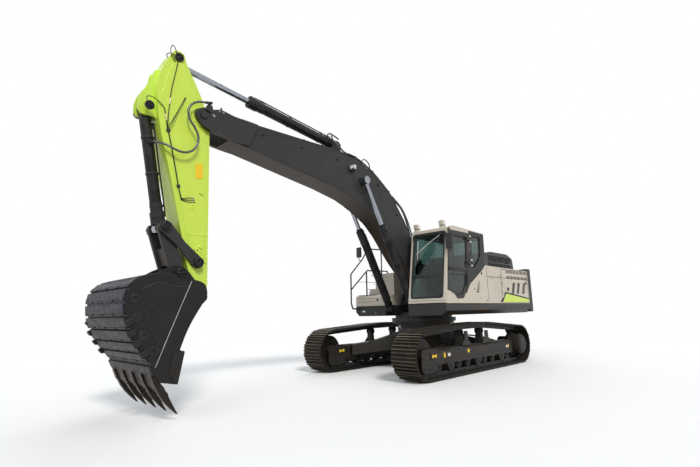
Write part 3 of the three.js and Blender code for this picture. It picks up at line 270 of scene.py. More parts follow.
def chromed():
    finish = Finish("chromed_rod")
    marks = finish.between(finish.noise(60.0, 6.0, (1, 1, 0.2)), 0.35, 0.65)
    finish.feed(
        finish.shader.inputs["Base Color"],
        finish.mix(marks, srgb(138, 142, 150), srgb(166, 169, 175))
    )
    finish.feed(finish.shader.inputs["Roughness"], finish.between(marks, 0, 1, 0.10, 0.2))
    finish.bump(finish.noise(300.0, 2.0), 0.0001, 0.4)
    return finish.set(Metallic=1.0)


def tinted_glass():
    """Thin tinted pane. Shadow rays pass, so that the cab's inside is lit through it."""
    finish = Finish("tinted_glass")
    haze = finish.between(finish.noise(2.2, 5.0), 0.35, 0.7)
    finish.feed(
        finish.shader.inputs["Base Color"],
        finish.mix(haze, srgb(112, 138, 134), srgb(138, 162, 158))
    )
    finish.feed(
        finish.shader.inputs["Roughness"],
        finish.between(finish.noise(8.0, 6.0), 0.4, 0.8, 0.02, 0.07)
    )
    finish.set(Transmission_Weight=1.0, IOR=1.45)
    clear = finish.add("ShaderNodeBsdfTransparent", {"Color": srgb(168, 194, 190)})
    ray = finish.add("ShaderNodeLightPath").outputs["Is Shadow Ray"]
    surface = finish.add(
        "ShaderNodeMixShader", {0: ray, 1: finish.shader.outputs[0], 2: clear.outputs[0]}
    )
    out = finish.tree.nodes["Material Output"]
    finish.tree.links.new(surface.outputs[0], out.inputs["Surface"])
    return finish


def seat_cloth():
    """Woven seat cover: crossed threads with a soft sheen."""
    finish = Finish("seat_cloth")
    threads = []
    for direction in ("X", "Z"):
        wave = finish.add(
            "ShaderNodeTexWave", {"Vector": finish.coords, "Scale": 95.0, "Distortion": 0.6},
            bands_direction=direction,
        )
        threads.append(wave.outputs["Fac"])
    weave = finish.maths("MULTIPLY", threads[0], threads[1])
    base = finish.mix(weave, srgb(40, 41, 44), srgb(78, 79, 84))
    finish.feed(finish.shader.inputs["Base Color"], base)
    finish.feed(finish.shader.inputs["Roughness"], finish.between(weave, 0, 1, 0.92, 0.74))
    finish.bump(weave, 0.0012, 0.8)
    return finish.set(Sheen_Weight=0.35)


def lamp_lens():
    finish = Finish("lamp_lens")
    ribs = finish.add(
        "ShaderNodeTexWave", {"Vector": finish.coords, "Scale": 16.0}, bands_direction="X",
    ).outputs["Fac"]
    finish.feed(
        finish.shader.inputs["Base Color"],
        finish.mix(ribs, srgb(222, 226, 228), srgb(246, 247, 247))
    )
    finish.feed(finish.shader.inputs["Roughness"], finish.between(ribs, 0, 1, 0.08, 0.2))
    finish.bump(ribs, 0.002, 0.6)
    return finish.set(Coat_Weight=1.0, Coat_Roughness=0.04)


def walkway_grip():
    """Black walkway with a raised diamond pattern pressed into it."""
    finish = moulded("walkway_grip", srgb(46, 47, 48), 0.6)
    turned = finish.add(
        "ShaderNodeMapping", {"Vector": finish.coords, "Rotation": (0, 0, math.radians(45))}
    )
    waves = [
        finish.add(
            "ShaderNodeTexWave", {
                "Vector": turned.outputs[0], "Scale": 12.0
            }, bands_direction=direction,
        ).outputs["Fac"]
        for direction in ("X", "Y")
    ]
    finish.bump(finish.maths("MULTIPLY", waves[0], waves[1]), 0.004, 0.9)
    return finish


def make_finishes():
    finishes = [
        painted("charcoal_paint", srgb(50, 51, 53), 0.42, dust=0.05, painted_bounce=0.75),
        painted("frame_paint", srgb(42, 40, 38), 0.46, dust=0.22, dirt=(84, 74, 60), painted_bounce=0.8),
        painted("beige_paint", srgb(206, 199, 184), 0.36, tone=0.05, dust=0.08, coat=0.25),
        painted("lime_paint", srgb(204, 236, 78), 0.34, tone=0.03, peel=0.0002, coat=0.35),
        painted("hood_paint", srgb(58, 59, 62), 0.34, dust=0.06),
        painted("door_paint", srgb(54, 53, 52), 0.38, dust=0.04),
        painted("plate_yellow", srgb(250, 204, 52), 0.4, tone=0.05),
        painted("plate_white", srgb(226, 225, 219), 0.45, tone=0.05),
        painted("cap_red", srgb(178, 44, 34), 0.4),
        worn_metal(
            "bucket_steel", srgb(32, 31, 31), srgb(42, 41, 40), 0.46, 0.15, low=0.40, high=0.72, painted_bounce=0.75,
        ),
        # The wear strips' blue cast is painted sky reflection; their brown undersides are painted ground bounce.
        worn_metal("wear_steel", srgb(28, 31, 40), srgb(38, 42, 52), 0.46, 0.0, painted_bounce=0.45),
        worn_metal("tooth_steel", srgb(28, 26, 25), srgb(44, 41, 38), 0.4, 0.3, painted_bounce=0.6),
        worn_metal(
            "track_steel", srgb(32, 30, 28), srgb(54, 49, 43), 0.42, 0.4, low=0.5, high=0.75
        ),
        # The grouser bars' pale tops: painted highlight, partly worn polish.
        worn_metal(
            "bar_steel", srgb(58, 53, 46), srgb(138, 126, 106), 0.34, 0.6, low=0.42, high=0.66
        ),
        worn_metal("pin_steel", srgb(120, 121, 122), srgb(186, 186, 184), 0.3, 0.95),
        worn_metal("black_steel", srgb(30, 30, 31), srgb(52, 52, 54), 0.4, 0.25),
        worn_metal("brass", srgb(138, 128, 104), srgb(192, 182, 154), 0.32, 0.9),
        moulded("black_trim", srgb(28, 28, 30)),
        moulded("cab_plastic", srgb(58, 58, 60), 0.6, 180.0, 0.0008),
        moulded("lamp_white", srgb(226, 226, 222), 0.4, 220.0, 0.0003, 0.04),
        moulded("seal_rubber", srgb(24, 24, 25), 0.62),
        hose_cover(), chromed(), tinted_glass(), seat_cloth(), lamp_lens(), walkway_grip(),
    ]
    return {finish.name: finish.material for finish in finishes}


# ---------------------------------------------------------------- mesh building

SHARP = math.radians(48)


def rounded(outline, radius, steps=3):
    """An outline with its corners rounded, each by no more than its shorter side allows."""
    count = len(outline)
    points = []
    for index, corner in enumerate(outline):
        here = Vector(corner)
        before = Vector(outline[index - 1]) - here
        after = Vector(outline[(index + 1) % count]) - here
        half = before.angle(after) / 2 if before.length and after.length else math.pi / 2
        if half > math.radians(86):
            points.append(tuple(here))
            continue
        reach = min(radius / math.tan(half), 0.46 * before.length, 0.46 * after.length)
        start = here + before.normalized() * reach
        end = here + after.normalized() * reach
        for step in range(steps + 1):
            share = step / steps
            first = start.lerp(here, share)
            points.append(tuple(first.lerp(here.lerp(end, share), share)))
    return points


def inset(outline, distance):
    """An outline moved inwards all round by a small distance."""
    count = len(outline)
    area = sum(
        outline[i - 1][0] * outline[i][1] - outline[i][0] * outline[i - 1][1] for i in range(count)
    )
    sign = 1 if area > 0 else -1
    moved = []
    for index in range(count):
        here = Vector(outline[index])
        before = here - Vector(outline[index - 1])
        after = Vector(outline[(index + 1) % count]) - here
        normals = [Vector((-edge.y, edge.x)).normalized() for edge in (before, after) if edge.length > 1e-7]
        middle = sum(normals, Vector((0, 0)))
        if middle.length < 1e-6:
            moved.append(tuple(here))
            continue
        middle.normalize()
        widen = 1 / max(0.35, middle.dot(normals[0]))
        moved.append(tuple(here + middle * (sign * distance * widen)))
    return moved


def smooth_path(points, steps=6):
    """Points along a Catmull-Rom curve through the given ones."""
    knots = [Vector(p) for p in points]
    path = []
    for index in range(len(knots) - 1):
        before = knots[max(index - 1, 0)]
        start, end = knots[index], knots[index + 1]
        after = knots[min(index + 2, len(knots) - 1)]
        for step in range(steps):
            t = step / steps
            path.append(0.5 * (
                2 * start + (end - before) * t + (2 * before - 5 * start + 4 * end - after) * t * t
                + (3 * start - before - 3 * end + after) * t ** 3
            ))
    path.append(knots[-1])
    return path


class Shape:
    """Closed solids gathered for one mesh. `paint` and `place` hold for whatever is added next."""

    AXES = {"x": (1, 2, 0), "y": (0, 2, 1), "z": (0, 1, 2)}

    def __init__(self, paint="charcoal_paint", place=None):
        self.points = []
        self.faces = []
        self.paints = []
        self.paint = paint
        self.place = place or Matrix()

    def add(self, points, faces):
        start = len(self.points)
        self.points += [self.place @ Vector(point) for point in points]
        self.faces += [[start + index for index in face] for face in faces]
        self.paints += [self.paint] * len(faces)

    def rings(self, rings, closed=False):
        """Skin through rings of equal length, capped at both ends unless the last meets the first."""
        size = len(rings[0])
        points = [point for ring in rings for point in ring]
        faces = []
        last = len(rings) if closed else len(rings) - 1
        for level in range(last):
            low, high = level * size, ((level + 1) % len(rings)) * size
            for index in range(size):
                after = (index + 1) % size
                faces.append((low + index, low + after, high + after, high + index))
        if not closed:
            faces.append(tuple(reversed(range(size))))
            faces.append(tuple(range(len(points) - size, len(points))))
        self.add(points, faces)

    def plate(self, outline, low, high, axis="x", edge=0.003, corner=0.0):
        """An outline pushed through from low to high along an axis, with chamfered rims."""
        if corner:
            outline = rounded(outline, corner)
        first, second, along = self.AXES[axis]

        def ring(points, level):
            placed = []
            for point in points:
                values = [0.0, 0.0, 0.0]
                values[first], values[second], values[along] = point[0], point[1], level
                placed.append(values)
            return placed

        low, high = min(low, high), max(low, high)
        edge = min(edge, (high - low) * 0.4)
        if edge <= 0:
            self.rings([ring(outline, low), ring(outline, high)])
            return
        inner = inset(outline, edge)
        self.rings([ring(inner, low), ring(outline, low + edge), ring(outline, high - edge), ring(inner, high)])

    def box(self, low, high, edge=0.004, axis="z", corner=0.0):
        low, high = [min(a, b) for a, b in zip(low, high)], [max(a, b) for a, b in zip(low, high)]
        first, second, along = self.AXES[axis]
        outline = [
            (low[first], low[second]), (high[first], low[second]), (high[first], high[second]),
            (low[first], high[second]),
        ]
        self.plate(outline, low[along], high[along], axis, edge, corner or edge)

    def turned(self, start, end, profile, sides=20):
        """A turned part: (distance from start, radius) pairs along the line from start to end."""
        start, end = Vector(start), Vector(end)
        along = (end - start).normalized()
        side = along.orthogonal().normalized()
        other = along.cross(side)
        rings = []
        for distance, radius in profile:
            centre = start + along * distance
            rings.append([
                centre + (side * math.cos(turn) + other * math.sin(turn)) * radius
                for turn in (2 * math.pi * step / sides for step in range(sides))
            ])
        self.rings(rings)

    def rod(self, start, end, radius, sides=20, edge=0.003):
        length = (Vector(end) - Vector(start)).length
        edge = min(edge, length * 0.3, radius * 0.4)
        self.turned(start, end, [
            (0, radius - edge), (edge, radius), (length - edge, radius), (length, radius - edge),
        ], sides)

    def tube(self, points, radius, sides=10, steps=6):
        """A round section swept along a smooth curve through the points, without twist."""
        path = smooth_path(points, steps) if steps else [Vector(p) for p in points]
        heading = (path[1] - path[0]).normalized()
        side = heading.orthogonal().normalized()
        rings = []
        for index, centre in enumerate(path):
            ahead = path[min(index + 1, len(path) - 1)] - path[max(index - 1, 0)]
            ahead.normalize()
            side = (side - ahead * side.dot(ahead)).normalized()
            other = ahead.cross(side)
            rings.append([
                centre + (side * math.cos(turn) + other * math.sin(turn)) * radius
                for turn in (2 * math.pi * step / sides for step in range(sides))
            ])
        self.rings(rings)

    def torus(self, centre, axis, radius, thickness, sides=28, section=8):
        """A ring around a centre, square to an axis."""
        axis = Vector(axis).normalized()
        side = axis.orthogonal().normalized()
        other = axis.cross(side)
        rings = []
        for step in range(sides):
            turn = 2 * math.pi * step / sides
            outward = side * math.cos(turn) + other * math.sin(turn)
            rings.append([
                Vector(centre) + outward * (radius + thickness * math.cos(lean)) + axis * (thickness * math.sin(lean))
                for lean in (2 * math.pi * part / section for part in range(section))
            ])
        self.rings(rings, closed=True)

    def bolt(self, place, axis, radius=0.014, height=0.012):
        """A hexagon head on its washer, standing on a face whose normal is the axis."""
        axis = Vector(axis).normalized()
        foot = Vector(place) - axis * 0.004
        self.turned(
            foot, foot + axis,
            [(0, radius * 1.25), (0.0065, radius * 1.25), (0.007, radius * 1.15)], 12
        )
        self.turned(foot, foot + axis, [
            (0.006, radius), (0.004 + height * 0.8, radius), (0.004 + height, radius * 0.8),
        ], 6)

    def bolt_ring(self, centre, axis, circle, count, radius=0.014, height=0.012, turn=0.0):
        axis = Vector(axis).normalized()
        side = axis.orthogonal().normalized()
        other = axis.cross(side)
        for index in range(count):
            angle = turn + 2 * math.pi * index / count
            outward = side * math.cos(angle) + other * math.sin(angle)
            self.bolt(Vector(centre) + outward * circle, axis, radius, height)

    def fitting(self, start, direction, radius=0.02):
        """A hose end: collar, hexagon nut and tail."""
        start, direction = Vector(start), Vector(direction).normalized()
        kept = self.paint
        self.paint = "brass"
        self.turned(start, start + direction, [
            (0, radius * 0.8), (0.004, radius * 1.02), (0.022, radius * 1.05), (0.026, radius * 0.9),
        ], 16)
        self.turned(start, start + direction, [
            (0.024, radius * 1.2), (0.027, radius * 1.32), (0.05, radius * 1.32), (0.053, radius * 1.2),
        ], 6)
        self.turned(start, start + direction, [
            (0.05, radius * 1.02), (0.1, radius * 1.06), (0.104, radius * 0.96),
        ], 16)
        self.paint = kept

    def stamp(self, other, places):
        """Copies of another shape's solids, one for each placement matrix."""
        points = np.array([point[:] for point in other.points])
        for place in places:
            turn = np.array((self.place @ place).to_3x3())
            start = len(self.points)
            moved = points @ turn.T + np.array((self.place @ place).translation)
            self.points += [Vector(point) for point in moved]
            self.faces += [[start + index for index in face] for face in other.faces]
            self.paints += other.paints


def make_mesh(name, shape):
    mesh = bpy.data.meshes.new(name)
    mesh.from_pydata([tuple(point) for point in shape.points], [], shape.faces)
    used = list(dict.fromkeys(shape.paints))
    for paint in used:
        mesh.materials.append(FINISHES[paint])
    numbers = [used.index(paint) for paint in shape.paints]
    mesh.polygons.foreach_set("material_index", numbers)
    solid = bmesh.new()
    solid.from_mesh(mesh)
    bmesh.ops.recalc_face_normals(solid, faces=solid.faces)
    solid.to_mesh(mesh)
    solid.free()
    return mesh


def soften(piece, sharp=SHARP):
    """Smooth shading that stays crisp at real edges and flat across flat faces."""
    piece.data.shade_smooth()
    piece.data.set_sharp_from_angle(angle=sharp)
    weighted = piece.modifiers.new("weighted", "WEIGHTED_NORMAL")
    weighted.keep_sharp = True
    return piece


def place_piece(name, mesh, body, replaces=()):
    piece = bpy.data.objects.new(name, mesh)
    bpy.context.collection.objects.link(piece)
    if body:
        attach(piece, body)
    if replaces:
        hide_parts(*replaces)
    return piece


def make_piece(name, body, shape, replaces=()):
    return soften(place_piece(name, make_mesh(name, shape), body, replaces))


NODE_BODY = {
    node: body for body, nodes in frame["record"]["behaviour"]["bodies"].items() for node in nodes
}


def formed(node, paint, width=0.006, sharp=30, by_place=None):
    """A bevelled copy of a CAD node: triangles merged into whole faces, then every corner rounded."""
    solid = bmesh.new()
    solid.from_mesh(frame["nodes"][node].data)
    bmesh.ops.remove_doubles(solid, verts=solid.verts, dist=0.00002)
    bmesh.ops.dissolve_limit(
        solid, angle_limit=math.radians(0.6), verts=solid.verts, edges=solid.edges,
    )
    if width:
        corners = [
            edge for edge in solid.edges
            if edge.is_manifold and edge.calc_face_angle() > math.radians(sharp) and edge.calc_length() > width
        ]
        bmesh.ops.bevel(
            solid, geom=corners, offset=width, segments=2, profile=0.6, affect="EDGES",
            clamp_overlap=True,
        )
    mesh = bpy.data.meshes.new(f"{node}_formed")
    solid.to_mesh(mesh)
    solid.free()
    mesh.materials.append(FINISHES[paint])
    piece = place_piece(f"{node}_formed", mesh, NODE_BODY[node], [node])
    if by_place:
        for extra in dict.fromkeys(rule[0] for rule in by_place):
            mesh.materials.append(FINISHES[extra])
        order = list(dict.fromkeys([paint] + [rule[0] for rule in by_place]))
        for face in mesh.polygons:
            for name, inside in by_place:
                if inside(face.center):
                    face.material_index = order.index(name)
    return soften(piece)


class Member:
    """A frame along an arm: reach from its pin along the member, rise square to it."""

    def __init__(self, joint, degrees):
        self.pin = Vector(JOINTS[joint]["pos_m"])
        turn = math.radians(degrees)
        self.ahead = Vector((0, -math.cos(turn), math.sin(turn)))
        self.up = Vector((0, math.sin(turn), math.cos(turn)))
        self.place = Matrix((
            (1, 0, 0, 0),
            (0, self.ahead.y, self.up.y, self.pin.y),
            (0, self.ahead.z, self.up.z, self.pin.z),
            (0, 0, 0, 1),
        ))

    def at(self, reach, rise, x=0.0):
        return self.place @ Vector((x, reach, rise))


def pin_cap(shape, centre, side, radius, thickness=0.02, retainer=None):
    """A pin's end plate on a member's side: rim, recess, grease nipple and an optional retainer bar."""
    out = Vector((side, 0, 0))
    start = Vector(centre)
    shape.turned(start, start + out, [
        (-0.004, radius), (thickness - 0.004, radius), (thickness, radius - 0.005),
        (thickness, radius * 0.8), (
            thickness - 0.006, radius * 0.74
        ), (thickness - 0.006, radius * 0.3),
        (thickness, radius * 0.24), (thickness, 0.002),
    ], 36)
    kept = shape.paint
    if retainer is not None:
        shape.paint = "black_steel"
        along = Vector((0, math.cos(retainer), math.sin(retainer)))
        across = Vector((0, -along.z, along.y))
        middle = start + out * thickness
        ends = [(-0.95, -0.16), (0.95, -0.16), (0.95, 0.16), (-0.95, 0.16)]
        low = [middle + along * radius * u + across * radius * v for u, v in rounded(ends, 0.1)]
        shape.rings([low, [point + out * 0.009 for point in low]])
        shape.bolt(middle + along * radius * 0.72 + out * 0.009, out, radius * 0.13, 0.008)
        shape.bolt(middle - along * radius * 0.72 + out * 0.009, out, radius * 0.13, 0.008)
    shape.paint = kept


# ---------------------------------------------------------------- hose between boom and stick

HOSE_RADIUS = 0.018
HOSE_ROUTE = [
    (0.325, -6.131, 4.711), (0.325, -6.241, 4.686), (0.325, -6.339, 4.625), (0.325, -6.396, 4.534),
    (0.325, -6.406, 4.440), (0.325, -6.365, 4.325), (0.325, -6.291, 4.232), (0.325, -6.235, 4.132),
    (0.325, -6.220, 4.034), (0.325, -6.243, 3.938), (0.325, -6.306, 3.846), (0.325, -6.401, 3.790),
    (0.325, -6.508, 3.781), (0.310, -6.620, 3.817), (0.270, -6.709, 3.860), (0.210, -6.788, 3.886),
    (0.165, -6.822, 3.890),
]


def make_stick_hose():
    """The one hose that hangs free: off the boom's side, down and round to the bucket cylinder."""
    route = [(x, y + SWING_Y, z) for x, y, z in HOSE_ROUTE]
    shape = Shape("hose_cover")
    shape.tube(route, HOSE_RADIUS, 14, 6)
    hose = make_piece("stick_hose_cover", None, shape, ["stick_hose"])
    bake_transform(hose)


# ---------------------------------------------------------------- the CAD's own shapes, finished

def in_quarter_reveal(place):
    """The edge of the quarter window's opening, in the thickness of the cab's side."""
    depth = CAB_SIDE - place.x
    return 0.0008 < depth < 0.09 and house(0.03) < place.y < house(0.49) and 2.2 < place.z < 3.065


def finish_frame_nodes():
    """Bevelled copies of the CAD nodes whose shape is already right."""
    charcoal = [
        "boom", "main_frame", "counterweight", "engine_bay", "slew_ring",
    ]
    for node in charcoal:
        formed(node, "charcoal_paint")
    for node in ("carbody", "track_frame_left", "track_frame_right"):
        formed(node, "frame_paint")
    formed("cab_shell", "beige_paint", by_place=[("black_trim", in_quarter_reveal)])
    for node in ("cab_side_panel", "left_body", "right_body", "fuel_tank", "tool_box"):
        formed(node, "beige_paint")
    for side in ("left", "right"):
        formed(f"{side}_service_door", "beige_paint")
        formed(f"boom_cylinder_{side}_barrel", "black_steel", 0.004)
        formed(f"boom_cylinder_{side}_rod", "chromed_rod", 0.004)
        formed(f"sprocket_{side}", "frame_paint", 0.004)
        formed(f"idler_{side}", "track_steel", 0.004)
    formed("cab_door", "door_paint")
    formed("engine_hood", "hood_paint", 0.012)
    formed("engine_block", "black_steel", 0.02)
    formed("stick", "lime_paint")
    formed("bucket", "bucket_steel")
    for node in ("rocker", "h_link"):
        formed(node, "charcoal_paint")
    for name in ("stick", "bucket"):
        formed(f"{name}_cylinder_barrel", "black_steel", 0.004)
        formed(f"{name}_cylinder_rod", "chromed_rod", 0.004)
    for node in ("windshield", "quarter_window", "right_window", "rear_window", "door_glass"):
        formed(node, "tinted_glass", 0.002)
    formed("operator_station", "cab_plastic", 0.012)
    formed("handrail", "black_trim", 0.0)
    formed("mirror_left", "black_trim", 0.006)


# ---------------------------------------------------------------- stage

FLOOR_REACH = 70.0
FLOOR_FADE = (6.5, 13.0)
FLOOR_BOUNCE = (150, 136, 118)


def make_stage():
    """Pale floor that takes the machine's shadow and fades to the plain white behind it."""
    finish = Finish("stage")
    pale = finish.mix(
        finish.between(finish.noise(0.15), 0.3, 0.7), srgb(248, 248, 247), srgb(250, 250, 249)
    )
    path = finish.add("ShaderNodeLightPath").outputs
    bounce = finish.mix(path["Is Diffuse Ray"], pale, srgb(*FLOOR_BOUNCE))
    finish.feed(finish.shader.inputs["Base Color"], bounce)
    finish.set(Roughness=0.95)
    white = finish.add("ShaderNodeEmission", {"Color": (1, 1, 1, 1), "Strength": 1.0})
    reach = finish.add(
        "ShaderNodeVectorMath", {0: finish.coords}, operation="LENGTH"
    ).outputs["Value"]
    far = finish.between(reach, *FLOOR_FADE)
    seen = finish.maths("MAXIMUM", path["Is Camera Ray"], path["Is Glossy Ray"])
    seen = finish.maths("MAXIMUM", seen, path["Is Transmission Ray"])
    share = finish.maths("MULTIPLY", far, seen)
    surface = finish.add(
        "ShaderNodeMixShader", {0: share, 1: finish.shader.outputs[0], 2: white.outputs[0]}
    )
    finish.tree.links.new(
        surface.outputs[0], finish.tree.nodes["Material Output"].inputs["Surface"]
    )
    floor = bpy.data.meshes.new("floor")
    corners = [(-1, -1), (1, -1), (1, 1), (-1, 1)]
    floor.from_pydata(
        [(x * FLOOR_REACH, y * FLOOR_REACH, 0) for x, y in corners], [], [(0, 1, 2, 3)]
    )
    floor.materials.append(finish.material)
    piece = bpy.data.objects.new("floor", floor)
    bpy.context.collection.objects.link(piece)


def add_lamp(name, toward, strength, degrees, colour):
    """A broad sun that shines from a direction."""
    data = bpy.data.lights.new(name, "SUN")
    data.energy = strength
    data.angle = math.radians(degrees)
    data.color = colour
    lamp = bpy.data.objects.new(name, data)
    lamp.rotation_mode = "QUATERNION"
    lamp.rotation_quaternion = Vector(toward).to_track_quat("Z", "Y")
    bpy.context.collection.objects.link(lamp)


def make_lights():
    """Soft daylight studio: a warm key from the machine's left and front, a cool sky and a fill."""
    add_lamp("key", (1.0, -0.45, 0.95), 1.9, 14, (1.0, 0.975, 0.94))
    add_lamp("fill", (0.2, -1.0, 0.45), 0.45, 50, (0.92, 0.96, 1.0))
    add_lamp("back", (-0.8, 0.8, 0.9), 0.5, 40, (0.95, 0.97, 1.0))
    world = bpy.data.worlds.new("sky")
    bpy.context.scene.world = world
    world.use_nodes = True
    tree = world.node_tree
    light = tree.nodes["Background"]
    light.inputs["Color"].default_value = (0.90, 0.94, 1.0, 1.0)
    light.inputs["Strength"].default_value = 0.55
    seen = tree.nodes.new("ShaderNodeBackground")
    seen.inputs["Color"].default_value = (1.0, 1.0, 1.0, 1.0)
    seen.inputs["Strength"].default_value = 1.0
    path = tree.nodes.new("ShaderNodeLightPath")
    either = path.outputs["Is Camera Ray"]
    for name in ("Is Glossy Ray", "Is Transmission Ray"):
        larger = tree.nodes.new("ShaderNodeMath")
        larger.operation = "MAXIMUM"
        tree.links.new(either, larger.inputs[0])
        tree.links.new(path.outputs[name], larger.inputs[1])
        either = larger.outputs[0]
    choose = tree.nodes.new("ShaderNodeMixShader")
    tree.links.new(either, choose.inputs[0])
    tree.links.new(light.outputs[0], choose.inputs[1])
    tree.links.new(seen.outputs[0], choose.inputs[2])
    tree.links.new(choose.outputs[0], tree.nodes["World Output"].inputs["Surface"])


# ---------------------------------------------------------------- tracks

TRACK_X = 1.3125
TRACK_HALF = 0.297
SHOES = 51
IDLER = (SWING_Y - 2.060, 0.478)
SPROCKET = (SWING_Y + 1.986, 0.462)
CARRIERS = ((SWING_Y - 0.545, 1.042), (SWING_Y + 0.337, 1.052))
PLATE_DEPTH = (0.026, 0.044)
LINK_DEPTH = (0.046, 0.129)
SLEW_WALL = 0.650


def tangent_turn(centre, radius, outside):
    """Angle round a centre at which a line to a point outside touches the circle's top."""
    dy, dz = outside[0] - centre[0], outside[1] - centre[1]
    spread = math.acos(radius / math.hypot(dy, dz))
    return math.atan2(dz, dy) + math.copysign(spread, dy)


def track_loop():
    """The loop of the grouser tips in (y, z): round the idler, over the carriers, round the sprocket."""
    leave = tangent_turn(IDLER, IDLER[1], CARRIERS[0])
    meet = tangent_turn(SPROCKET, SPROCKET[1], CARRIERS[1])
    steps = 60
    loop = []
    for step in range(steps + 1):
        turn = 1.5 * math.pi + (leave - 1.5 * math.pi) * step / steps
        loop.append((IDLER[0] + IDLER[1] * math.cos(turn), IDLER[1] + IDLER[1] * math.sin(turn)))
    loop += list(CARRIERS)
    for step in range(steps + 1):
        turn = meet + (-0.5 * math.pi - meet) * step / steps
        loop.append((SPROCKET[0] + SPROCKET[1] * math.cos(turn), SPROCKET[1] + SPROCKET[1] * math.sin(turn)))
    loop.append(loop[0])
    return np.array(loop)


def loop_places(count, offset=0.5):
    """Placements evenly along the loop: local y runs along it, local z points outwards."""
    loop = track_loop()
    lengths = np.concatenate([[0], np.cumsum(np.linalg.norm(np.diff(loop, axis=0), axis=1))])
    pitch = lengths[-1] / count
    half = pitch * 0.42

    def at(distance):
        distance %= lengths[-1]
        return np.array([np.interp(distance, lengths, loop[:, axis]) for axis in (0, 1)])

    places = []
    for index in range(count):
        middle = (index + offset) * pitch
        before, after = at(middle - half), at(middle + half)
        along = (after - before) / np.linalg.norm(after - before)
        centre = (before + after) / 2
        outward = (-along[1], along[0])
        places.append(Matrix((
            (1, 0, 0, 0), (
                0, along[0], outward[0], centre[0]
            ), (0, along[1], outward[1], centre[1]),
            (0, 0, 0, 1),
        )))
    return places, pitch


def make_shoe(pitch):
    """One shoe: a plate with three bars, its lips overlapping the next, and four bolts."""
    shoe = Shape("track_steel")
    half = pitch * 0.46
    top, bottom = -PLATE_DEPTH[0], -PLATE_DEPTH[1]
    bar = 0.011
    outline = [(-half, bottom), (-half, top)]
    for centre, height in ((-0.74, 0.0), (0.0, -0.001), (0.74, -0.002)):
        middle = centre * half
        outline += [
            (middle - bar * 1.6, top), (middle - bar, height), (middle + bar, height), (middle + bar * 1.6, top),
        ]
    outline += [(half, top), (half + 0.012, top - 0.012), (half + 0.006, bottom)]
    shoe.plate(outline, -TRACK_HALF, TRACK_HALF, "x", 0.006)
    # The bars' tops get the pale bar finish: painted highlight, partly worn polish.
    shoe.paint = "bar_steel"
    for centre, height in ((-0.74, 0.0), (0.0, -0.001), (0.74, -0.002)):
        middle = centre * half
        shoe.box(
            (-TRACK_HALF + 0.006, middle - bar * 0.9, height - 0.003),
            (TRACK_HALF - 0.006, middle + bar * 0.9, height), 0.0008
        )
    shoe.paint = "black_steel"
    for x in (-0.115, -0.06, 0.06, 0.115):
        shoe.bolt((x, half * 0.37, top - 0.002), (0, 0, 1), 0.012, 0.012)
    return shoe


def make_link(pitch):
    """A pair of chain links under a shoe, with the pin and bushing that join them to the next."""
    link = Shape("black_steel")
    top, bottom = -LINK_DEPTH[0], -LINK_DEPTH[1]
    middle = (top + bottom) / 2
    half = pitch * 0.6
    outline = [
        (-half, middle - 0.022), (-half + 0.02, bottom), (half - 0.055, bottom), (half - 0.02, middle - 0.02),
        (half, middle), (half - 0.02, middle + 0.025), (half - 0.05, top), (-half + 0.03, top),
        (-half, middle + 0.02),
    ]
    for side in (-1, 1):
        link.plate([(y, z) for y, z in outline], side * 0.058, side * 0.096, "x", 0.004, 0.012)
    link.rod((-0.092, -pitch / 2, middle), (0.092, -pitch / 2, middle), 0.021, 12)
    link.paint = "track_steel"
    link.rod((-0.1, -pitch / 2, middle), (0.1, -pitch / 2, middle), 0.013, 10)
    return link


def make_tracks():
    places, pitch = loop_places(SHOES)
    shoe, link = make_shoe(pitch), make_link(pitch)
    for name, side in (("left", 1), ("right", -1)):
        track = Shape("track_steel", Matrix.Translation((side * TRACK_X, 0, 0)))
        track.stamp(shoe, places)
        track.stamp(link, places)
        make_piece(f"track_{name}_shoes", "undercarriage", track, [f"track_{name}"])


ROLLER_COUNT = 9
ROLLER_SPAN = (SWING_Y - 1.500, SWING_Y + 1.466)
ROLLER_Z = 0.226
FRAME_FACE = 0.138
FRAME_TOP = 0.575


def roller_y(index):
    first, last = ROLLER_SPAN
    return first + (last - first) * index / (ROLLER_COUNT - 1)


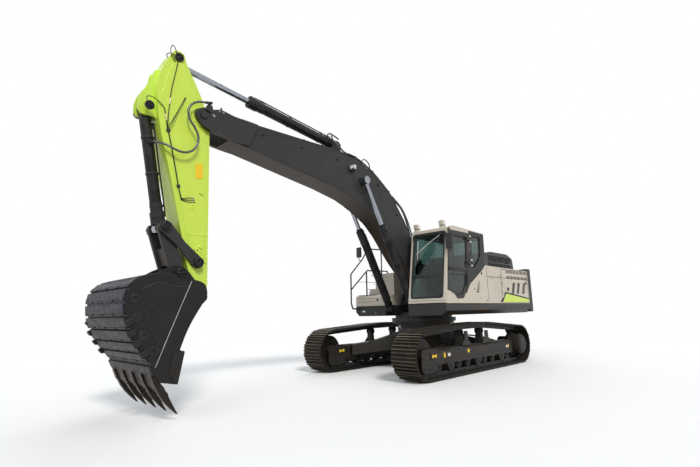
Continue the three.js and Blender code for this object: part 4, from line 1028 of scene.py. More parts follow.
def make_track_details(name, side):
    """What is fixed to a track frame's faces: roller ends, bolts, covers, black strips painted as the shadow under
    the step pockets, and plates.
    """
    shape = Shape("black_steel", Matrix.Translation((side * TRACK_X, 0, 0)))
    for index in range(ROLLER_COUNT):
        y = roller_y(index)
        guarded = index in (1, 4, 7)
        face = 0.152 if guarded else 0.099
        for way in (-1, 1):
            start = Vector((way * face, y, ROLLER_Z))
            shape.turned(start, start + Vector((way, 0, 0)), [
                (-0.012, 0.058), (0.004, 0.058), (0.008, 0.052), (0.008, 0.03), (0.014, 0.026), (0.014, 0.002),
            ], 20)
            if guarded:
                for dy in (-0.09, -0.03, 0.03, 0.09):
                    shape.bolt((way * 0.1495, y + dy, 0.262), (way, 0, 0), 0.011, 0.01)
            else:
                shape.box((way * 0.09, y - 0.06, 0.245), (way * 0.128, y + 0.06, 0.276), 0.005, "x")
                shape.bolt((way * 0.112, y - 0.042, 0.248), (0, 0, -1), 0.011, 0.012)
                shape.bolt((way * 0.112, y + 0.042, 0.248), (0, 0, -1), 0.011, 0.012)
    shape.paint = "frame_paint"
    out = side
    shape.box(
        (out * 0.134, SWING_Y - 1.44, 0.355), (out * 0.146, SWING_Y + 1.40, 0.368), 0.003, "x"
    )
    for y, wide, tall in ((-0.448, 0.174, 0.877), (0.458, 0.188, 0.858)):
        y += SWING_Y
        bracket = [
            (y - wide, 0.575), (y - wide, 0.615), (y - wide * 0.42, 0.700), (y - wide * 0.34, tall),
            (y + wide * 0.34, tall), (y + wide * 0.42, 0.700), (y + wide, 0.615), (y + wide, 0.575),
        ]
        shape.plate(bracket, out * (FRAME_FACE - 0.030), out * (FRAME_FACE - 0.004), "x", 0.003)
    # Thin black strips barely proud of the face: painted shadow under the step pockets.
    shape.paint = "black_trim"
    for y0, y1 in ((-1.11, -0.63), (0.93, 1.64)):
        shape.box(
            (
                out * (FRAME_FACE - 0.004), SWING_Y + y0, 0.535
            ), (out * (FRAME_FACE + 0.002), SWING_Y + y1, 0.562),
            0.001, "x",
        )
    shape.box(
        (out * 0.136, SWING_Y - 0.560, 0.425), (out * 0.1405, SWING_Y - 0.500, 0.485), 0.002, "x"
    )
    plates = (
        ("plate_yellow", -1.343, 0.437, 0.026, 0.050), ("plate_white", -1.175, 0.438, 0.050, 0.030),
        ("plate_yellow", -0.404, 0.459, 0.040, 0.036), ("plate_white", 1.411, 0.430, 0.040, 0.030),
        ("plate_yellow", 1.500, 0.437, 0.020, 0.040),
    )
    for paint, y, z, wide, tall in plates:
        shape.paint = paint
        shape.box(
            (out * 0.136, SWING_Y + y - wide, z - tall), (
                out * 0.1415, SWING_Y + y + wide, z + tall
            ), 0.002, "x",
        )
    make_piece(f"track_frame_{name}_fittings", "undercarriage", shape)


def make_yoke(name, side):
    """The idler's yoke at the front: ribbed block, adjuster cover, bolts and a blank plate."""
    shape = Shape("frame_paint", Matrix.Translation((side * TRACK_X, 0, 0)))
    for way in (-1, 1):
        face = way * 0.138
        shape.box(
            (face - way * 0.004, IDLER[0] - 0.02, 0.50),
            (face + way * 0.012, IDLER[0] + 0.56, 0.522), 0.003, "x"
        )
        shape.box(
            (face - way * 0.004, IDLER[0] - 0.02, 0.205),
            (face + way * 0.012, IDLER[0] + 0.30, 0.225), 0.003, "x"
        )
        shape.turned((face, IDLER[0], IDLER[1]), (face + way, IDLER[0], IDLER[1]), [
            (-0.006, 0.088), (0.012, 0.088), (0.016, 0.08), (0.016, 0.05), (0.01, 0.045), (0.01, 0.002),
        ], 28)
        shape.paint = "black_steel"
        shape.bolt_ring(
            (face + way * 0.012, IDLER[0], IDLER[1]), (way, 0, 0), 0.066, 6, 0.009, 0.008
        )
        for y in (IDLER[0] + 0.17, IDLER[0] + 0.27, IDLER[0] + 0.37, IDLER[0] + 0.47):
            shape.bolt((face, y, 0.30), (way, 0, 0), 0.013, 0.012)
        shape.paint = "frame_paint"
        shape.plate(
            [
                (IDLER[0] + 0.22, 0.385), (IDLER[0] + 0.44, 0.385), (IDLER[0] + 0.44, 0.51),
                (IDLER[0] + 0.22, 0.51)
            ],
            face - way * 0.004, face + way * 0.016, "x", 0.005, 0.02,
        )
    shape.paint = "plate_yellow"
    y, z = SWING_Y - 1.730, 0.449
    bow = [
        (y - 0.075, z - 0.034), (y, z - 0.012), (y + 0.075, z - 0.034), (y + 0.075, z + 0.034), (y, z + 0.012),
        (y - 0.075, z + 0.034),
    ]
    for way in (-1, 1):
        shape.plate(bow, way * 0.136, way * 0.1600, "x", 0.001)
    make_piece(f"yoke_{name}_fittings", "undercarriage", shape)


def make_drive(name, side):
    """Final drive: stepped cover with a bolt circle, sprocket bolts and level plugs."""
    # The cover in black steel, darker than the frame: painted shade, for the shadow the drive sits in.
    shape = Shape("black_steel", Matrix.Translation((side * TRACK_X, 0, 0)))
    face = side * 0.285
    centre = Vector((face, *SPROCKET))
    out = Vector((side, 0, 0))
    shape.turned(centre, centre + out, [
        (-0.006, 0.196), (0.004, 0.196), (0.004, 0.15), (0.016, 0.142), (0.02, 0.12), (0.02, 0.06),
        (0.012, 0.055), (0.012, 0.002),
    ], 40)
    shape.paint = "black_steel"
    shape.bolt_ring(centre + out * 0.002, out, 0.175, 16, 0.010, 0.009)
    shape.bolt_ring(centre + out * 0.018, out, 0.09, 3, 0.014, 0.008)
    shape.bolt_ring(Vector((side * 0.034, *SPROCKET)), out, 0.262, 20, 0.014, 0.014)
    make_piece(f"final_drive_{name}_cover", "undercarriage", shape)


def make_carriers(name, side):
    """Carrier rollers' end caps, and dark bolted pads on their posts."""
    shape = Shape("black_steel", Matrix.Translation((side * TRACK_X, 0, 0)))
    for y, top in CARRIERS:
        z = top - 0.130 - 0.005 - 0.062
        for way in (-1, 1):
            start = Vector((way * 0.08, y, z))
            shape.turned(start, start + Vector((way, 0, 0)), [
                (-0.02, 0.074), (-0.004, 0.074), (0.0, 0.066), (0.0, 0.03), (0.012, 0.026), (0.012, 0.002),
            ], 24)
            shape.bolt_ring(start, (way, 0, 0), 0.048, 4, 0.006, 0.006)
        shape.box(
            (-0.105, y - 0.06, FRAME_TOP - 0.006), (0.105, y + 0.06, FRAME_TOP + 0.012), 0.003
        )
        for x in (-0.085, 0.085):
            shape.bolt((x, y - 0.046, FRAME_TOP + 0.012), (0, 0, 1), 0.01, 0.01)
            shape.bolt((x, y + 0.046, FRAME_TOP + 0.012), (0, 0, 1), 0.01, 0.01)
    make_piece(f"carrier_{name}_caps", "undercarriage", shape)


def make_carbody_details():
    """Slew ring bolts, centre swivel hoses and a blank plate on the carbody."""
    shape = Shape("black_steel")
    centre = Vector((0, SWING_Y, 0))
    shape.bolt_ring(centre + Vector((0, 0, 1.078)), (0, 0, -1), 0.70, 48, 0.012, 0.012)
    shape.bolt_ring(centre + Vector((0, 0, 0.812)), (0, 0, 1), 0.735, 36, 0.012, 0.012)
    shape.paint = "pin_steel"
    for row, z in enumerate((0.905, 1.035)):
        for index in range(44):
            turn = 2 * math.pi * (index + 0.5 * row) / 44
            out = Vector((math.cos(turn), math.sin(turn), 0))
            shape.bolt(centre + out * SLEW_WALL + Vector((0, 0, z)), out, 0.010, 0.010)
    shape.paint = "plate_white"
    shape.place = Matrix.Translation(centre) @ Matrix.Rotation(math.radians(-28), 4, "Z")
    shape.box((-0.06, -0.654, 0.93), (0.06, -0.646, 0.99), 0.002, "y")
    shape.place = Matrix()
    shape.paint = "hose_cover"
    for side in (-1, 1):
        for lane in range(3):
            shift = 0.045 * lane
            shape.tube([
                (
                    side * (0.25 + shift), SWING_Y + 0.62, 0.74
                ), (side * (0.45 + shift), SWING_Y + 0.95, 0.72),
                (
                    side * 0.78, SWING_Y + 1.35 + shift, 0.64
                ), (side * 1.02, SWING_Y + 1.72 + shift, 0.52),
                (side * 1.12, SPROCKET[0] + shift, 0.50),
            ], 0.014, 10)
    make_piece("carbody_fittings", "undercarriage", shape)


def make_undercarriage():
    make_tracks()
    for name, side in (("left", 1), ("right", -1)):
        make_track_details(name, side)
        make_yoke(name, side)
        make_drive(name, side)
        make_carriers(name, side)
    make_carbody_details()


# ---------------------------------------------------------------- house

def house(y):
    """Row y of a place measured from the swing axis."""
    return y + SWING_Y


DECK_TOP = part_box("main_frame")[1][2]
PANEL_FACE = 1.440
CAB_SIDE = PANEL_FACE


def slit(shape, low, high, x, side, slant=0.0, depth=0.006):
    """A vent slot: a raised dark lozenge, on a wall that faces +X or -X."""
    y0, z0 = low
    y1, z1 = high
    outline = [(y0, z0), (y1, z0), (y1 + slant, z1), (y0 + slant, z1)]
    shape.plate(
        outline, side * (x - 0.004), side * (x + depth), "x", 0.002, min(y1 - y0, z1 - z0) * 0.48
    )


def make_side_panels(name, side):
    """The rear wall of one side: two vent rows, slanted louvre columns, hatch, seams and latches."""
    face = PANEL_FACE
    body = f"{name}_service_door"
    door_low, door_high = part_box(body)
    shape = Shape("black_trim")
    first, last = house(1.71), house(3.00)
    count = 15
    pitch = (last - first) / count
    for row, z in enumerate((2.280, 2.140)):
        for index in range(count):
            y = first + pitch * (index + 0.35 * row)
            if y + pitch * 0.5 < last + 0.02:
                slit(shape, (y, z - 0.040), (y + pitch * 0.46, z + 0.040), face, side, 0.022)
    for foot, reach, head in ((1.976, 0.225, 2.015), (2.266, 0.220, 2.020), (2.626, 0.210, 2.012)):
        rungs = 9
        for index in range(rungs):
            z = 1.735 + (head - 1.735) * index / rungs
            y = house(foot) + reach * index / rungs * 0.55
            slit(shape, (y, z), (y + 0.13, z + 0.019), face, side, 0.010)
    slit(shape, (house(1.715), 1.790), (house(1.835), 1.875), face, side)
    shape.paint = "seal_rubber"
    edge = [
        (door_low[1] + 0.012, door_low[2] + 0.012), (door_high[1] - 0.012, door_high[2] - 0.012)
    ]
    for z in (edge[0][1], edge[1][1]):
        shape.box(
            (side * (face - 0.004), edge[0][0], z - 0.004),
            (side * (face + 0.0025), edge[1][0], z + 0.004), 0.001, "x"
        )
    for y in (edge[0][0], edge[1][0]):
        shape.box(
            (side * (face - 0.004), y - 0.004, edge[0][1]),
            (side * (face + 0.0025), y + 0.004, edge[1][1]), 0.001, "x"
        )
    shape.paint = "black_trim"
    shape.plate(
        [
            (door_high[1] - 0.19, 1.98), (door_high[1] - 0.09, 1.98), (door_high[1] - 0.09, 2.05),
            (door_high[1] - 0.19, 2.05)
        ],
        side * (face - 0.004), side * (face + 0.010), "x", 0.003, 0.015,
    )
    make_piece(f"{name}_service_door_vents", body, shape)
    wedge = Shape("lime_paint")
    z0 = door_low[2] + 0.004
    split, hinge, crest, back = house(1.444), house(1.455), house(1.653), door_high[1] - 0.02
    thick = (side * (face - 0.004), side * (face + 0.003))
    wedge.plate(
        [(hinge, z0), (back, z0), (back, 1.580), (crest, 1.717), (hinge, 1.519)], *thick, "x", 0.001
    )
    wedge.paint = "black_trim"
    border = [(hinge, 1.523), (crest - 0.002, 1.721), (crest - 0.040, 1.765), (hinge, 1.630)]
    wedge.plate(border, *thick, "x", 0.001)
    wedge.plate(
        [(crest - 0.040, 1.765), (crest, 1.720), (back, 1.583), (back, 1.615)], *thick, "x", 0.001,
    )
    start = Shape("black_trim")
    start.plate(
        [(house(1.291), z0), (house(1.422), z0), (split, 1.512), (split, 1.621)], *thick, "x", 0.001
    )
    start.paint = "lime_paint"
    start.plate([(house(1.426), z0), (split, z0), (split, 1.508)], *thick, "x", 0.001)
    make_piece(f"{name}_body_stripe", "house", start)
    make_piece(f"{name}_service_door_stripe", body, wedge)


def make_left_panel():
    """Behind the cab: seam, latch disc, slots and small caps on the beige side panel."""
    low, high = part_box("cab_side_panel")
    x = high[0]
    shape = Shape("seal_rubber")
    shape.box(
        (x - 0.004, house(0.672), low[2] + 0.02), (x + 0.0025, house(0.680), high[2] - 0.02), 0.001,
        "x"
    )
    shape.paint = "black_trim"
    for index in range(5):
        z = 1.945 - index * 0.055
        slit(
            shape, (house(0.245) - index * 0.032, z), (house(0.285) - index * 0.012, z + 0.030), x,
            1, 0.010
        )
    slit(shape, (house(0.335), 1.585), (house(0.360), 1.602), x, 1)
    for y, z, radius in (
        (house(0.418), 2.175, 0.030), (house(0.597), 1.541, 0.016), (house(0.04), 1.80, 0.014)
    ):
        shape.turned((x, y, z), (x + 1, y, z), [
            (-0.004, radius), (0.006, radius), (0.009, radius * 0.85), (0.009, 0.002),
        ], 24)
    make_piece("cab_side_panel_fittings", "house", shape)


def make_skirt():
    """Along the deck's edge: the chamfer's trim, step lights, tie-down rings and bolt heads."""
    shape = Shape("black_trim")
    for side in (-1, 1):
        x = side * 1.4405
        shape.box(
            (x - side * 0.004, house(-0.85), DECK_TOP - 0.016),
            (x + side * 0.004, house(3.0), DECK_TOP - 0.004), 0.002, "x"
        )
        for y in (house(-0.2), house(0.9), house(2.0)):
            shape.bolt((side * 1.4395, y, DECK_TOP - 0.05), (side, 0, 0), 0.011, 0.008)
    shape.box((-1.22, house(-0.942), 1.315), (-1.10, house(-0.926), 1.365), 0.004, "y", 0.01)
    shape.paint = "lamp_lens"
    shape.box((-1.21, house(-0.946), 1.322), (-1.11, house(-0.938), 1.358), 0.003, "y", 0.008)
    shape.paint = "pin_steel"
    for x in (-0.72, 0.62):
        shape.torus((x, house(-0.95), 1.30), (1, 0, 0), 0.03, 0.008, 20, 8)
    make_piece("deck_edge_fittings", "house", shape)


def louvre_grille(shape, low, high, x, side, rows):
    """A framed window full of slanted slats, on a wall facing +X or -X."""
    (y0, z0), (y1, z1) = low, high
    rim = 0.018
    for a, b in (
        ((y0, z0), (y1, z0 + rim)), ((y0, z1 - rim), (y1, z1)), ((y0, z0), (y0 + rim, z1)),
        ((y1 - rim, z0), (y1, z1))
    ):
        shape.box((side * (x - 0.006), *a), (side * (x + 0.012), *b), 0.003, "x")
    kept = shape.paint
    shape.paint = "black_trim"
    shape.box(
        (side * (x - 0.006), y0 + rim, z0 + rim), (side * (x + 0.001), y1 - rim, z1 - rim), 0.0, "x"
    )
    shape.paint = kept
    pitch = (z1 - z0 - 2 * rim) / rows
    for row in range(rows):
        z = z0 + rim + pitch * (row + 0.5)
        outline = [
            (x - 0.003, z + pitch * 0.36), (x + 0.010, z - pitch * 0.28),
            (x + 0.013, z - pitch * 0.2), (x, z + pitch * 0.44)
        ]
        points = [(side * u, v) for u, v in outline]
        shape.rings([[(u, y, v) for u, v in points] for y in (y0 + rim, y1 - rim)])


def make_hood():
    """The engine hood's two rows of louvre windows, top grille and handles."""
    low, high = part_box("engine_hood")
    shape = Shape("hood_paint")
    for side in (-1, 1):
        face = high[0]
        for z0, z1 in ((2.43, 2.595), (2.635, 2.80)):
            for index in range(3):
                y0 = low[1] + 0.22 + index * 0.46
                louvre_grille(shape, (y0, z0), (y0 + 0.40, z1), face, side, 6)
    top = high[2]
    for row in range(2):
        y0 = low[1] + 0.42 + row * 0.55
        shape.box((-0.52, y0, top - 0.006), (0.52, y0 + 0.42, top + 0.0), 0.0)
        for index in range(14):
            y = y0 + 0.02 + index * 0.028
            shape.box((-0.50, y, top - 0.004), (0.50, y + 0.012, top + 0.007), 0.002)
    shape.paint = "black_trim"
    for x in (-0.55, 0.55):
        shape.tube(
            [
                (x - 0.09, high[1] - 0.07, 2.50), (x - 0.09, high[1] - 0.01, 2.51),
                (x + 0.09, high[1] - 0.01, 2.51), (x + 0.09, high[1] - 0.07, 2.50)
            ],
            0.009, 8, 3
        )
    make_piece("engine_hood_grilles", "engine_hood", shape)
    pipe = Shape("pin_steel")
    x, y = -0.62, house(1.30)
    pipe.turned(
        (x, y, 2.34), (x, y, 3.34),
        [
            (0, 0.09), (0.03, 0.09), (0.035, 0.062), (0.36, 0.062), (0.40, 0.07), (0.44, 0.062),
            (0.44, 0.052), (0.30, 0.05)
        ],
        28
    )
    make_piece("exhaust_stack", "engine_hood", pipe)


def make_counterweight():
    """Cast counterweight: lifting eyes, two dark lines marking a band across the back, and reflectors."""
    low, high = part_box("counterweight")
    shape = Shape("charcoal_paint")
    for x in (-0.9, 0.9):
        for dx in (-0.05, 0.05):
            shape.plate(
                [
                    (high[1] - 0.34, high[2] - 0.01), (high[1] - 0.16, high[2] - 0.01),
                    (high[1] - 0.2, high[2] + 0.0), (high[1] - 0.3, high[2] + 0.0)
                ],
                x + dx - 0.015, x + dx + 0.015, "x", 0.003
            )
    shape.paint = "black_trim"
    radius = 3.6
    for z in (1.46, 2.18):
        path = []
        for step in range(25):
            turn = math.radians(-21 + 42 * step / 24)
            path.append((math.sin(turn) * (radius + 0.001), SWING_Y + math.cos(turn) * (radius + 0.001), z))
        shape.tube(path, 0.010, 8, 0)
    shape.paint = "cap_red"
    for turn in (-0.36, 0.36):
        centre = Vector((math.sin(turn) * radius, SWING_Y + math.cos(turn) * radius, 1.66))
        out = Vector((math.sin(turn), math.cos(turn), 0))
        side = Vector((out.y, -out.x, 0))
        ring = [(-0.09, -0.03), (0.09, -0.03), (0.09, 0.03), (-0.09, 0.03)]
        outline = rounded(ring, 0.012)
        shape.rings([[centre + side * u + Vector((0, 0, v)) + out * level for u, v in outline] for level in (-0.008, 0.006)])
    make_piece("counterweight_fittings", "house", shape)


def make_lamp(shape, place, heading, size=(0.13, 0.10, 0.09)):
    """A boxy work lamp: bracket, body and a ribbed lens facing the heading."""
    turn = Matrix.Rotation(math.radians(heading), 4, "Z")
    shape.place = Matrix.Translation(place) @ turn
    wide, deep, tall = size
    shape.paint = "black_trim"
    shape.box((-0.022, -0.02, -0.05), (0.022, 0.02, 0.0), 0.004)
    shape.box((-wide / 2 - 0.008, -0.012, -0.012), (wide / 2 + 0.008, 0.012, 0.0), 0.003)
    shape.paint = "lamp_white"
    shape.box((-wide / 2, -deep / 2, 0.0), (wide / 2, deep / 2, tall), 0.008, "y", 0.016)
    shape.paint = "black_trim"
    shape.box(
        (-wide / 2 + 0.004, -deep / 2 - 0.006, 0.004),
        (wide / 2 - 0.004, -deep / 2 + 0.006, tall - 0.004), 0.004, "y", 0.014
    )
    shape.paint = "lamp_lens"
    shape.box(
        (-wide / 2 + 0.014, -deep / 2 - 0.010, 0.014), (wide / 2 - 0.014, -deep / 2, tall - 0.014),
        0.004, "y", 0.012
    )
    shape.place = Matrix()


def strip(shape, path, width, out, thickness=0.008):
    """A flat rubber or metal strip laid along a path, standing proud along a direction."""
    out = Vector(out).normalized()
    points = [Vector(p) for p in path]
    rings = []
    for index, here in enumerate(points):
        ahead = points[min(index + 1, len(points) - 1)] - points[max(index - 1, 0)]
        across = out.cross(ahead).normalized() * (width / 2)
        rings.append([
            here - across - out * 0.004, here + across - out * 0.004,
            here + across * 0.8 + out * thickness, here - across * 0.8 + out * thickness,
        ])
    shape.rings(rings)


def ring_band(shape, outer, inner, x, thickness=0.006):
    """A flat band between two outlines on the cab's +X side, set by the angle round their middle."""
    middle = sum((Vector(point) for point in inner), Vector((0, 0))) / len(inner)

    def radius_at(outline, turn):
        ray = Vector((math.cos(turn), math.sin(turn)))
        best = 0.0
        for first, second in zip(outline, outline[1:] + outline[:1]):
            start, edge = Vector(first) - middle, Vector(second) - Vector(first)
            across = ray.x * edge.y - ray.y * edge.x
            if abs(across) < 1e-9:
                continue
            along = (start.x * edge.y - start.y * edge.x) / across
            share = (start.x * ray.y - start.y * ray.x) / across
            if along > 0 and -1e-6 <= share <= 1 + 1e-6:
                best = max(best, along)
        return best

    corners = [Vector(point) - middle for point in (*outer, *inner)]
    turns = sorted({round(math.atan2(corner.y, corner.x), 5) for corner in corners})
    rings = []
    for turn in turns:
        ray = Vector((math.cos(turn), math.sin(turn)))
        far, near = middle + ray * radius_at(outer, turn), middle + ray * radius_at(inner, turn)
        rings.append([
            (x - 0.004, far.x, far.y), (x + thickness, far.x, far.y), (x + thickness, near.x, near.y),
            (x - 0.004, near.x, near.y),
        ])
    shape.rings(rings, closed=True)


def make_windshield_trim():
    """Seal round the windshield, the bar across it and the wiper."""
    low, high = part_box("windshield")
    lean = Vector((0, high[1] - low[1] - 0.01, high[2] - low[2])).normalized()
    out = Vector((0, -lean.z, lean.y))
    bottom, top = Vector((0, low[1], low[2])), Vector((0, high[1] - 0.01, high[2]))

    def on_pane(x, share, proud=0.0):
        return bottom.lerp(top, share) + Vector((x, 0, 0)) + out * proud

    shape = Shape("seal_rubber")
    left, right = high[0] - 0.012, low[0] + 0.012
    ring = [
        on_pane(right, 0.005), on_pane(left, 0.005), on_pane(left, 0.995), on_pane(right, 0.995)
    ]
    for index in range(4):
        strip(shape, [ring[index], ring[(index + 1) % 4]], 0.075, out, 0.014)
    shape.paint = "black_trim"
    strip(shape, [on_pane(right, 0.335), on_pane(left, 0.335)], 0.05, out, 0.016)
    for x in (right + 0.03, left - 0.03):
        shape.box(
            on_pane(x, 0.335) - Vector((0.03, 0.012, 0.04)),
            on_pane(x, 0.335) + Vector((0.03, 0.006, 0.04)), 0.006, "y", 0.01
        )
    shape.paint = "lamp_white"
    foot = on_pane(right + 0.10, 0.68, 0.03)
    shape.tube(
        [foot, on_pane((left + right) / 2, 0.83, 0.038), on_pane(left - 0.10, 0.955, 0.03)], 0.008,
        8, 3
    )
    shape.tube([on_pane(right + 0.14, 0.60, 0.02), on_pane(right + 0.13, 0.90, 0.02)], 0.007, 8, 2)
    shape.paint = "black_trim"
    shape.rod(on_pane(left - 0.10, 0.955, -0.004), on_pane(left - 0.10, 0.955, 0.046), 0.026, 18)
    shape.rod(foot - out * 0.018, foot + out * 0.012, 0.012, 12)
    make_piece("windshield_trim", "house", shape)


def make_cab_fittings():
    """Roof lamps' bodies, roof ribs and caps on the cab's frame."""
    shape = Shape("black_trim")
    roof = 3.165
    for x in (0.545, 1.245):
        make_lamp(shape, (x, house(-0.83), roof + 0.052), 0)
    shape.paint = "pin_steel"
    for x, y in ((0.62, house(-0.05)), (1.28, house(-0.12)), (0.95, house(0.40))):
        shape.rod((x, y, roof - 0.002), (x, y, roof + 0.03), 0.010, 10)
    shape.paint = "beige_paint"
    for x in (0.72, 0.95, 1.18):
        shape.box(
            (x - 0.05, house(-0.55), roof - 0.004), (x + 0.05, house(0.50), roof + 0.010), 0.004,
            "z", 0.02
        )
    shape.paint = "black_trim"
    surround = [
        (-0.050, 3.160), (0.655, 3.145), (0.650, 2.393), (-0.296, 1.662), (-0.330, 1.735), (-0.172, 1.905),
        (-0.058, 2.700),
    ]
    hole = [(0.045, 3.035), (0.465, 3.055), (0.436, 2.562), (0.045, 2.240)]
    outer = [(house(y), z) for y, z in rounded(surround, 0.03)]
    ring_band(shape, outer, [(house(y), z) for y, z in rounded(hole, 0.04)], CAB_SIDE)
    shape.turned((CAB_SIDE - 0.004, house(-0.994), 1.618), (CAB_SIDE + 1, house(-0.994), 1.618), [
        (0, 0.048), (0.008, 0.048), (0.012, 0.042), (0.012, 0.030), (0.008, 0.026), (0.008, 0.002),
    ], 24)
    shape.turned(
        (1.30, house(-1.177), 1.64), (1.30, house(-1.177) - 1, 1.64),
        [(-0.006, 0.034), (0.006, 0.034), (0.01, 0.028), (0.01, 0.002)], 28
    )
    shape.paint = "seal_rubber"
    shape.box((0.47, house(-1.178), 1.535), (1.43, house(-1.170), 1.543), 0.001, "y")
    make_piece("cab_fittings", "house", shape)


def make_door_trim():
    """On the cab door: pane seal, mid rail, handle and upper mirror panel."""
    low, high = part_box("door_glass")
    face = high[0] + 0.004
    door_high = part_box("cab_door")[1]
    shape = Shape("seal_rubber")
    front = [(low[1] + 0.30, low[2] + 0.02), (low[1] + 0.02, low[2] + 0.14), (low[1] + 0.02, high[2] - 0.03),
             (high[1] - 0.03, high[2] - 0.03), (high[1] - 0.03, 2.72), (high[1] - 0.12, 1.94), (high[1] - 0.30, low[2] + 0.02)]
    ring = [(face, y, z) for y, z in rounded(front, 0.08, 4)]
    ring.append(ring[0])
    strip(shape, ring, 0.032, (1, 0, 0), 0.007)
    shape.paint = "black_trim"
    shape.box(
        (face - 0.006, low[1] + 0.01, 2.185), (face + 0.014, high[1] - 0.07, 2.225), 0.005, "x",
        0.01
    )
    shape.tube([
        (face + 0.004, door_high[1] - 0.24, 1.86), (face + 0.03, door_high[1] - 0.24, 1.87),
        (face + 0.03, door_high[1] - 0.20, 2.10), (face + 0.004, door_high[1] - 0.20, 2.11),
    ], 0.010, 10, 4)
    shape.box(
        (face - 0.004, door_high[1] - 0.30, 1.76), (face + 0.014, door_high[1] - 0.22, 1.83), 0.004,
        "x", 0.012
    )
    shape.box(
        (face - 0.004, low[1] + 0.04, 2.62), (face + 0.012, low[1] + 0.22, 2.92), 0.005, "x", 0.03
    )
    make_piece("cab_door_trim", "cab_door", shape)


def make_window_seals():
    """Rubber seals round the rear quarter, right and rear windows of the cab."""
    shape = Shape("seal_rubber")
    low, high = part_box("quarter_window")
    x = CAB_SIDE - 0.030
    ring = rounded(
        [
            (low[1] + 0.02, low[2] + 0.03), (high[1] - 0.05, low[2] + 0.12),
            (high[1] - 0.02, high[2] - 0.02), (low[1] + 0.02, high[2] - 0.02)
        ],
        0.05, 4
    )
    path = [(high[0] + 0.003, y, z) for y, z in ring]
    strip(shape, [*path, path[0]], 0.03, (1, 0, 0), 0.008)
    low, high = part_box("right_window")
    ring = rounded(
        [
            (low[1] + 0.02, low[2] + 0.02), (high[1] - 0.02, low[2] + 0.02),
            (high[1] - 0.02, high[2] - 0.02), (low[1] + 0.02, high[2] - 0.02)
        ],
        0.06, 4
    )
    path = [(low[0] - 0.003, y, z) for y, z in ring]
    strip(shape, [*path, path[0]], 0.03, (-1, 0, 0), 0.008)
    low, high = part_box("rear_window")
    ring = rounded(
        [
            (low[0] + 0.02, low[2] + 0.02), (high[0] - 0.02, low[2] + 0.02),
            (high[0] - 0.02, high[2] - 0.02), (low[0] + 0.02, high[2] - 0.02)
        ],
        0.06, 4
    )
    path = [(x, high[1] + 0.003, z) for x, z in ring]
    strip(shape, [*path, path[0]], 0.03, (0, 1, 0), 0.008)
    make_piece("window_seals", "house", shape)


# ---------------------------------------------------------------- cab inside, rails and hoses

CUSHION_CAP = 0.026


def cushion_mesh(name, low, high, crown, corner):
    """A cushion's start: a rounded block with its corners drawn in and its face crowned."""
    grown = Shape("seat_cloth")
    rows = 9
    outline = rounded([
        (low[0], low[1]), (high[0], low[1]), (high[0], high[1]), (low[0], high[1]),
    ], corner, 5)
    rings = []
    for row in range(rows + 1):
        share = row / rows
        bulge = math.sin(math.pi * share)
        ring = inset(outline, 0.026 * (1 - bulge))
        rings.append([(u, v, low[2] + (high[2] - low[2]) * share) for u, v in ring])
    middle = Vector(((low[0] + high[0]) / 2, (low[1] + high[1]) / 2))
    for step in (0.7, 0.4, 0.12):
        rings.append([
            (
                middle.x + (u - middle.x) * step, middle.y + (v - middle.y) * step,
                high[2] + crown * (1 - step * step)
            )
            for u, v in inset(outline, 0.026)
        ])
    grown.rings(rings)
    return make_mesh(name, grown)


def puff(piece, voxel=0.006):
    """Cloth pressure swells the cushion; no point may move further than the cap."""
    remesh = piece.modifiers.new("remesh", "REMESH")
    remesh.mode = "VOXEL"
    remesh.voxel_size = voxel
    bpy.context.view_layer.objects.active = piece
    bpy.ops.object.modifier_apply(modifier="remesh")
    start = np.zeros(len(piece.data.vertices) * 3)
    piece.data.vertices.foreach_get("co", start)
    cloth = piece.modifiers.new("cloth", "CLOTH")
    cloth.settings.use_pressure = True
    cloth.settings.uniform_pressure_force = 4.0
    cloth.settings.effector_weights.gravity = 0.0
    cloth.point_cache.frame_start, cloth.point_cache.frame_end = 1, 20
    scene = bpy.context.scene
    for step in range(1, 21):
        scene.frame_set(step)
    bpy.ops.object.modifier_apply(modifier="cloth")
    scene.frame_set(1)
    end = np.zeros_like(start)
    piece.data.vertices.foreach_get("co", end)
    start, end = start.reshape(-1, 3), end.reshape(-1, 3)
    moved = end - start
    reach = np.linalg.norm(moved, axis=1, keepdims=True)
    capped = start + moved * np.minimum(1.0, CUSHION_CAP / np.maximum(reach, 1e-9))
    piece.data.vertices.foreach_set("co", capped.ravel())
    piece.data.update()


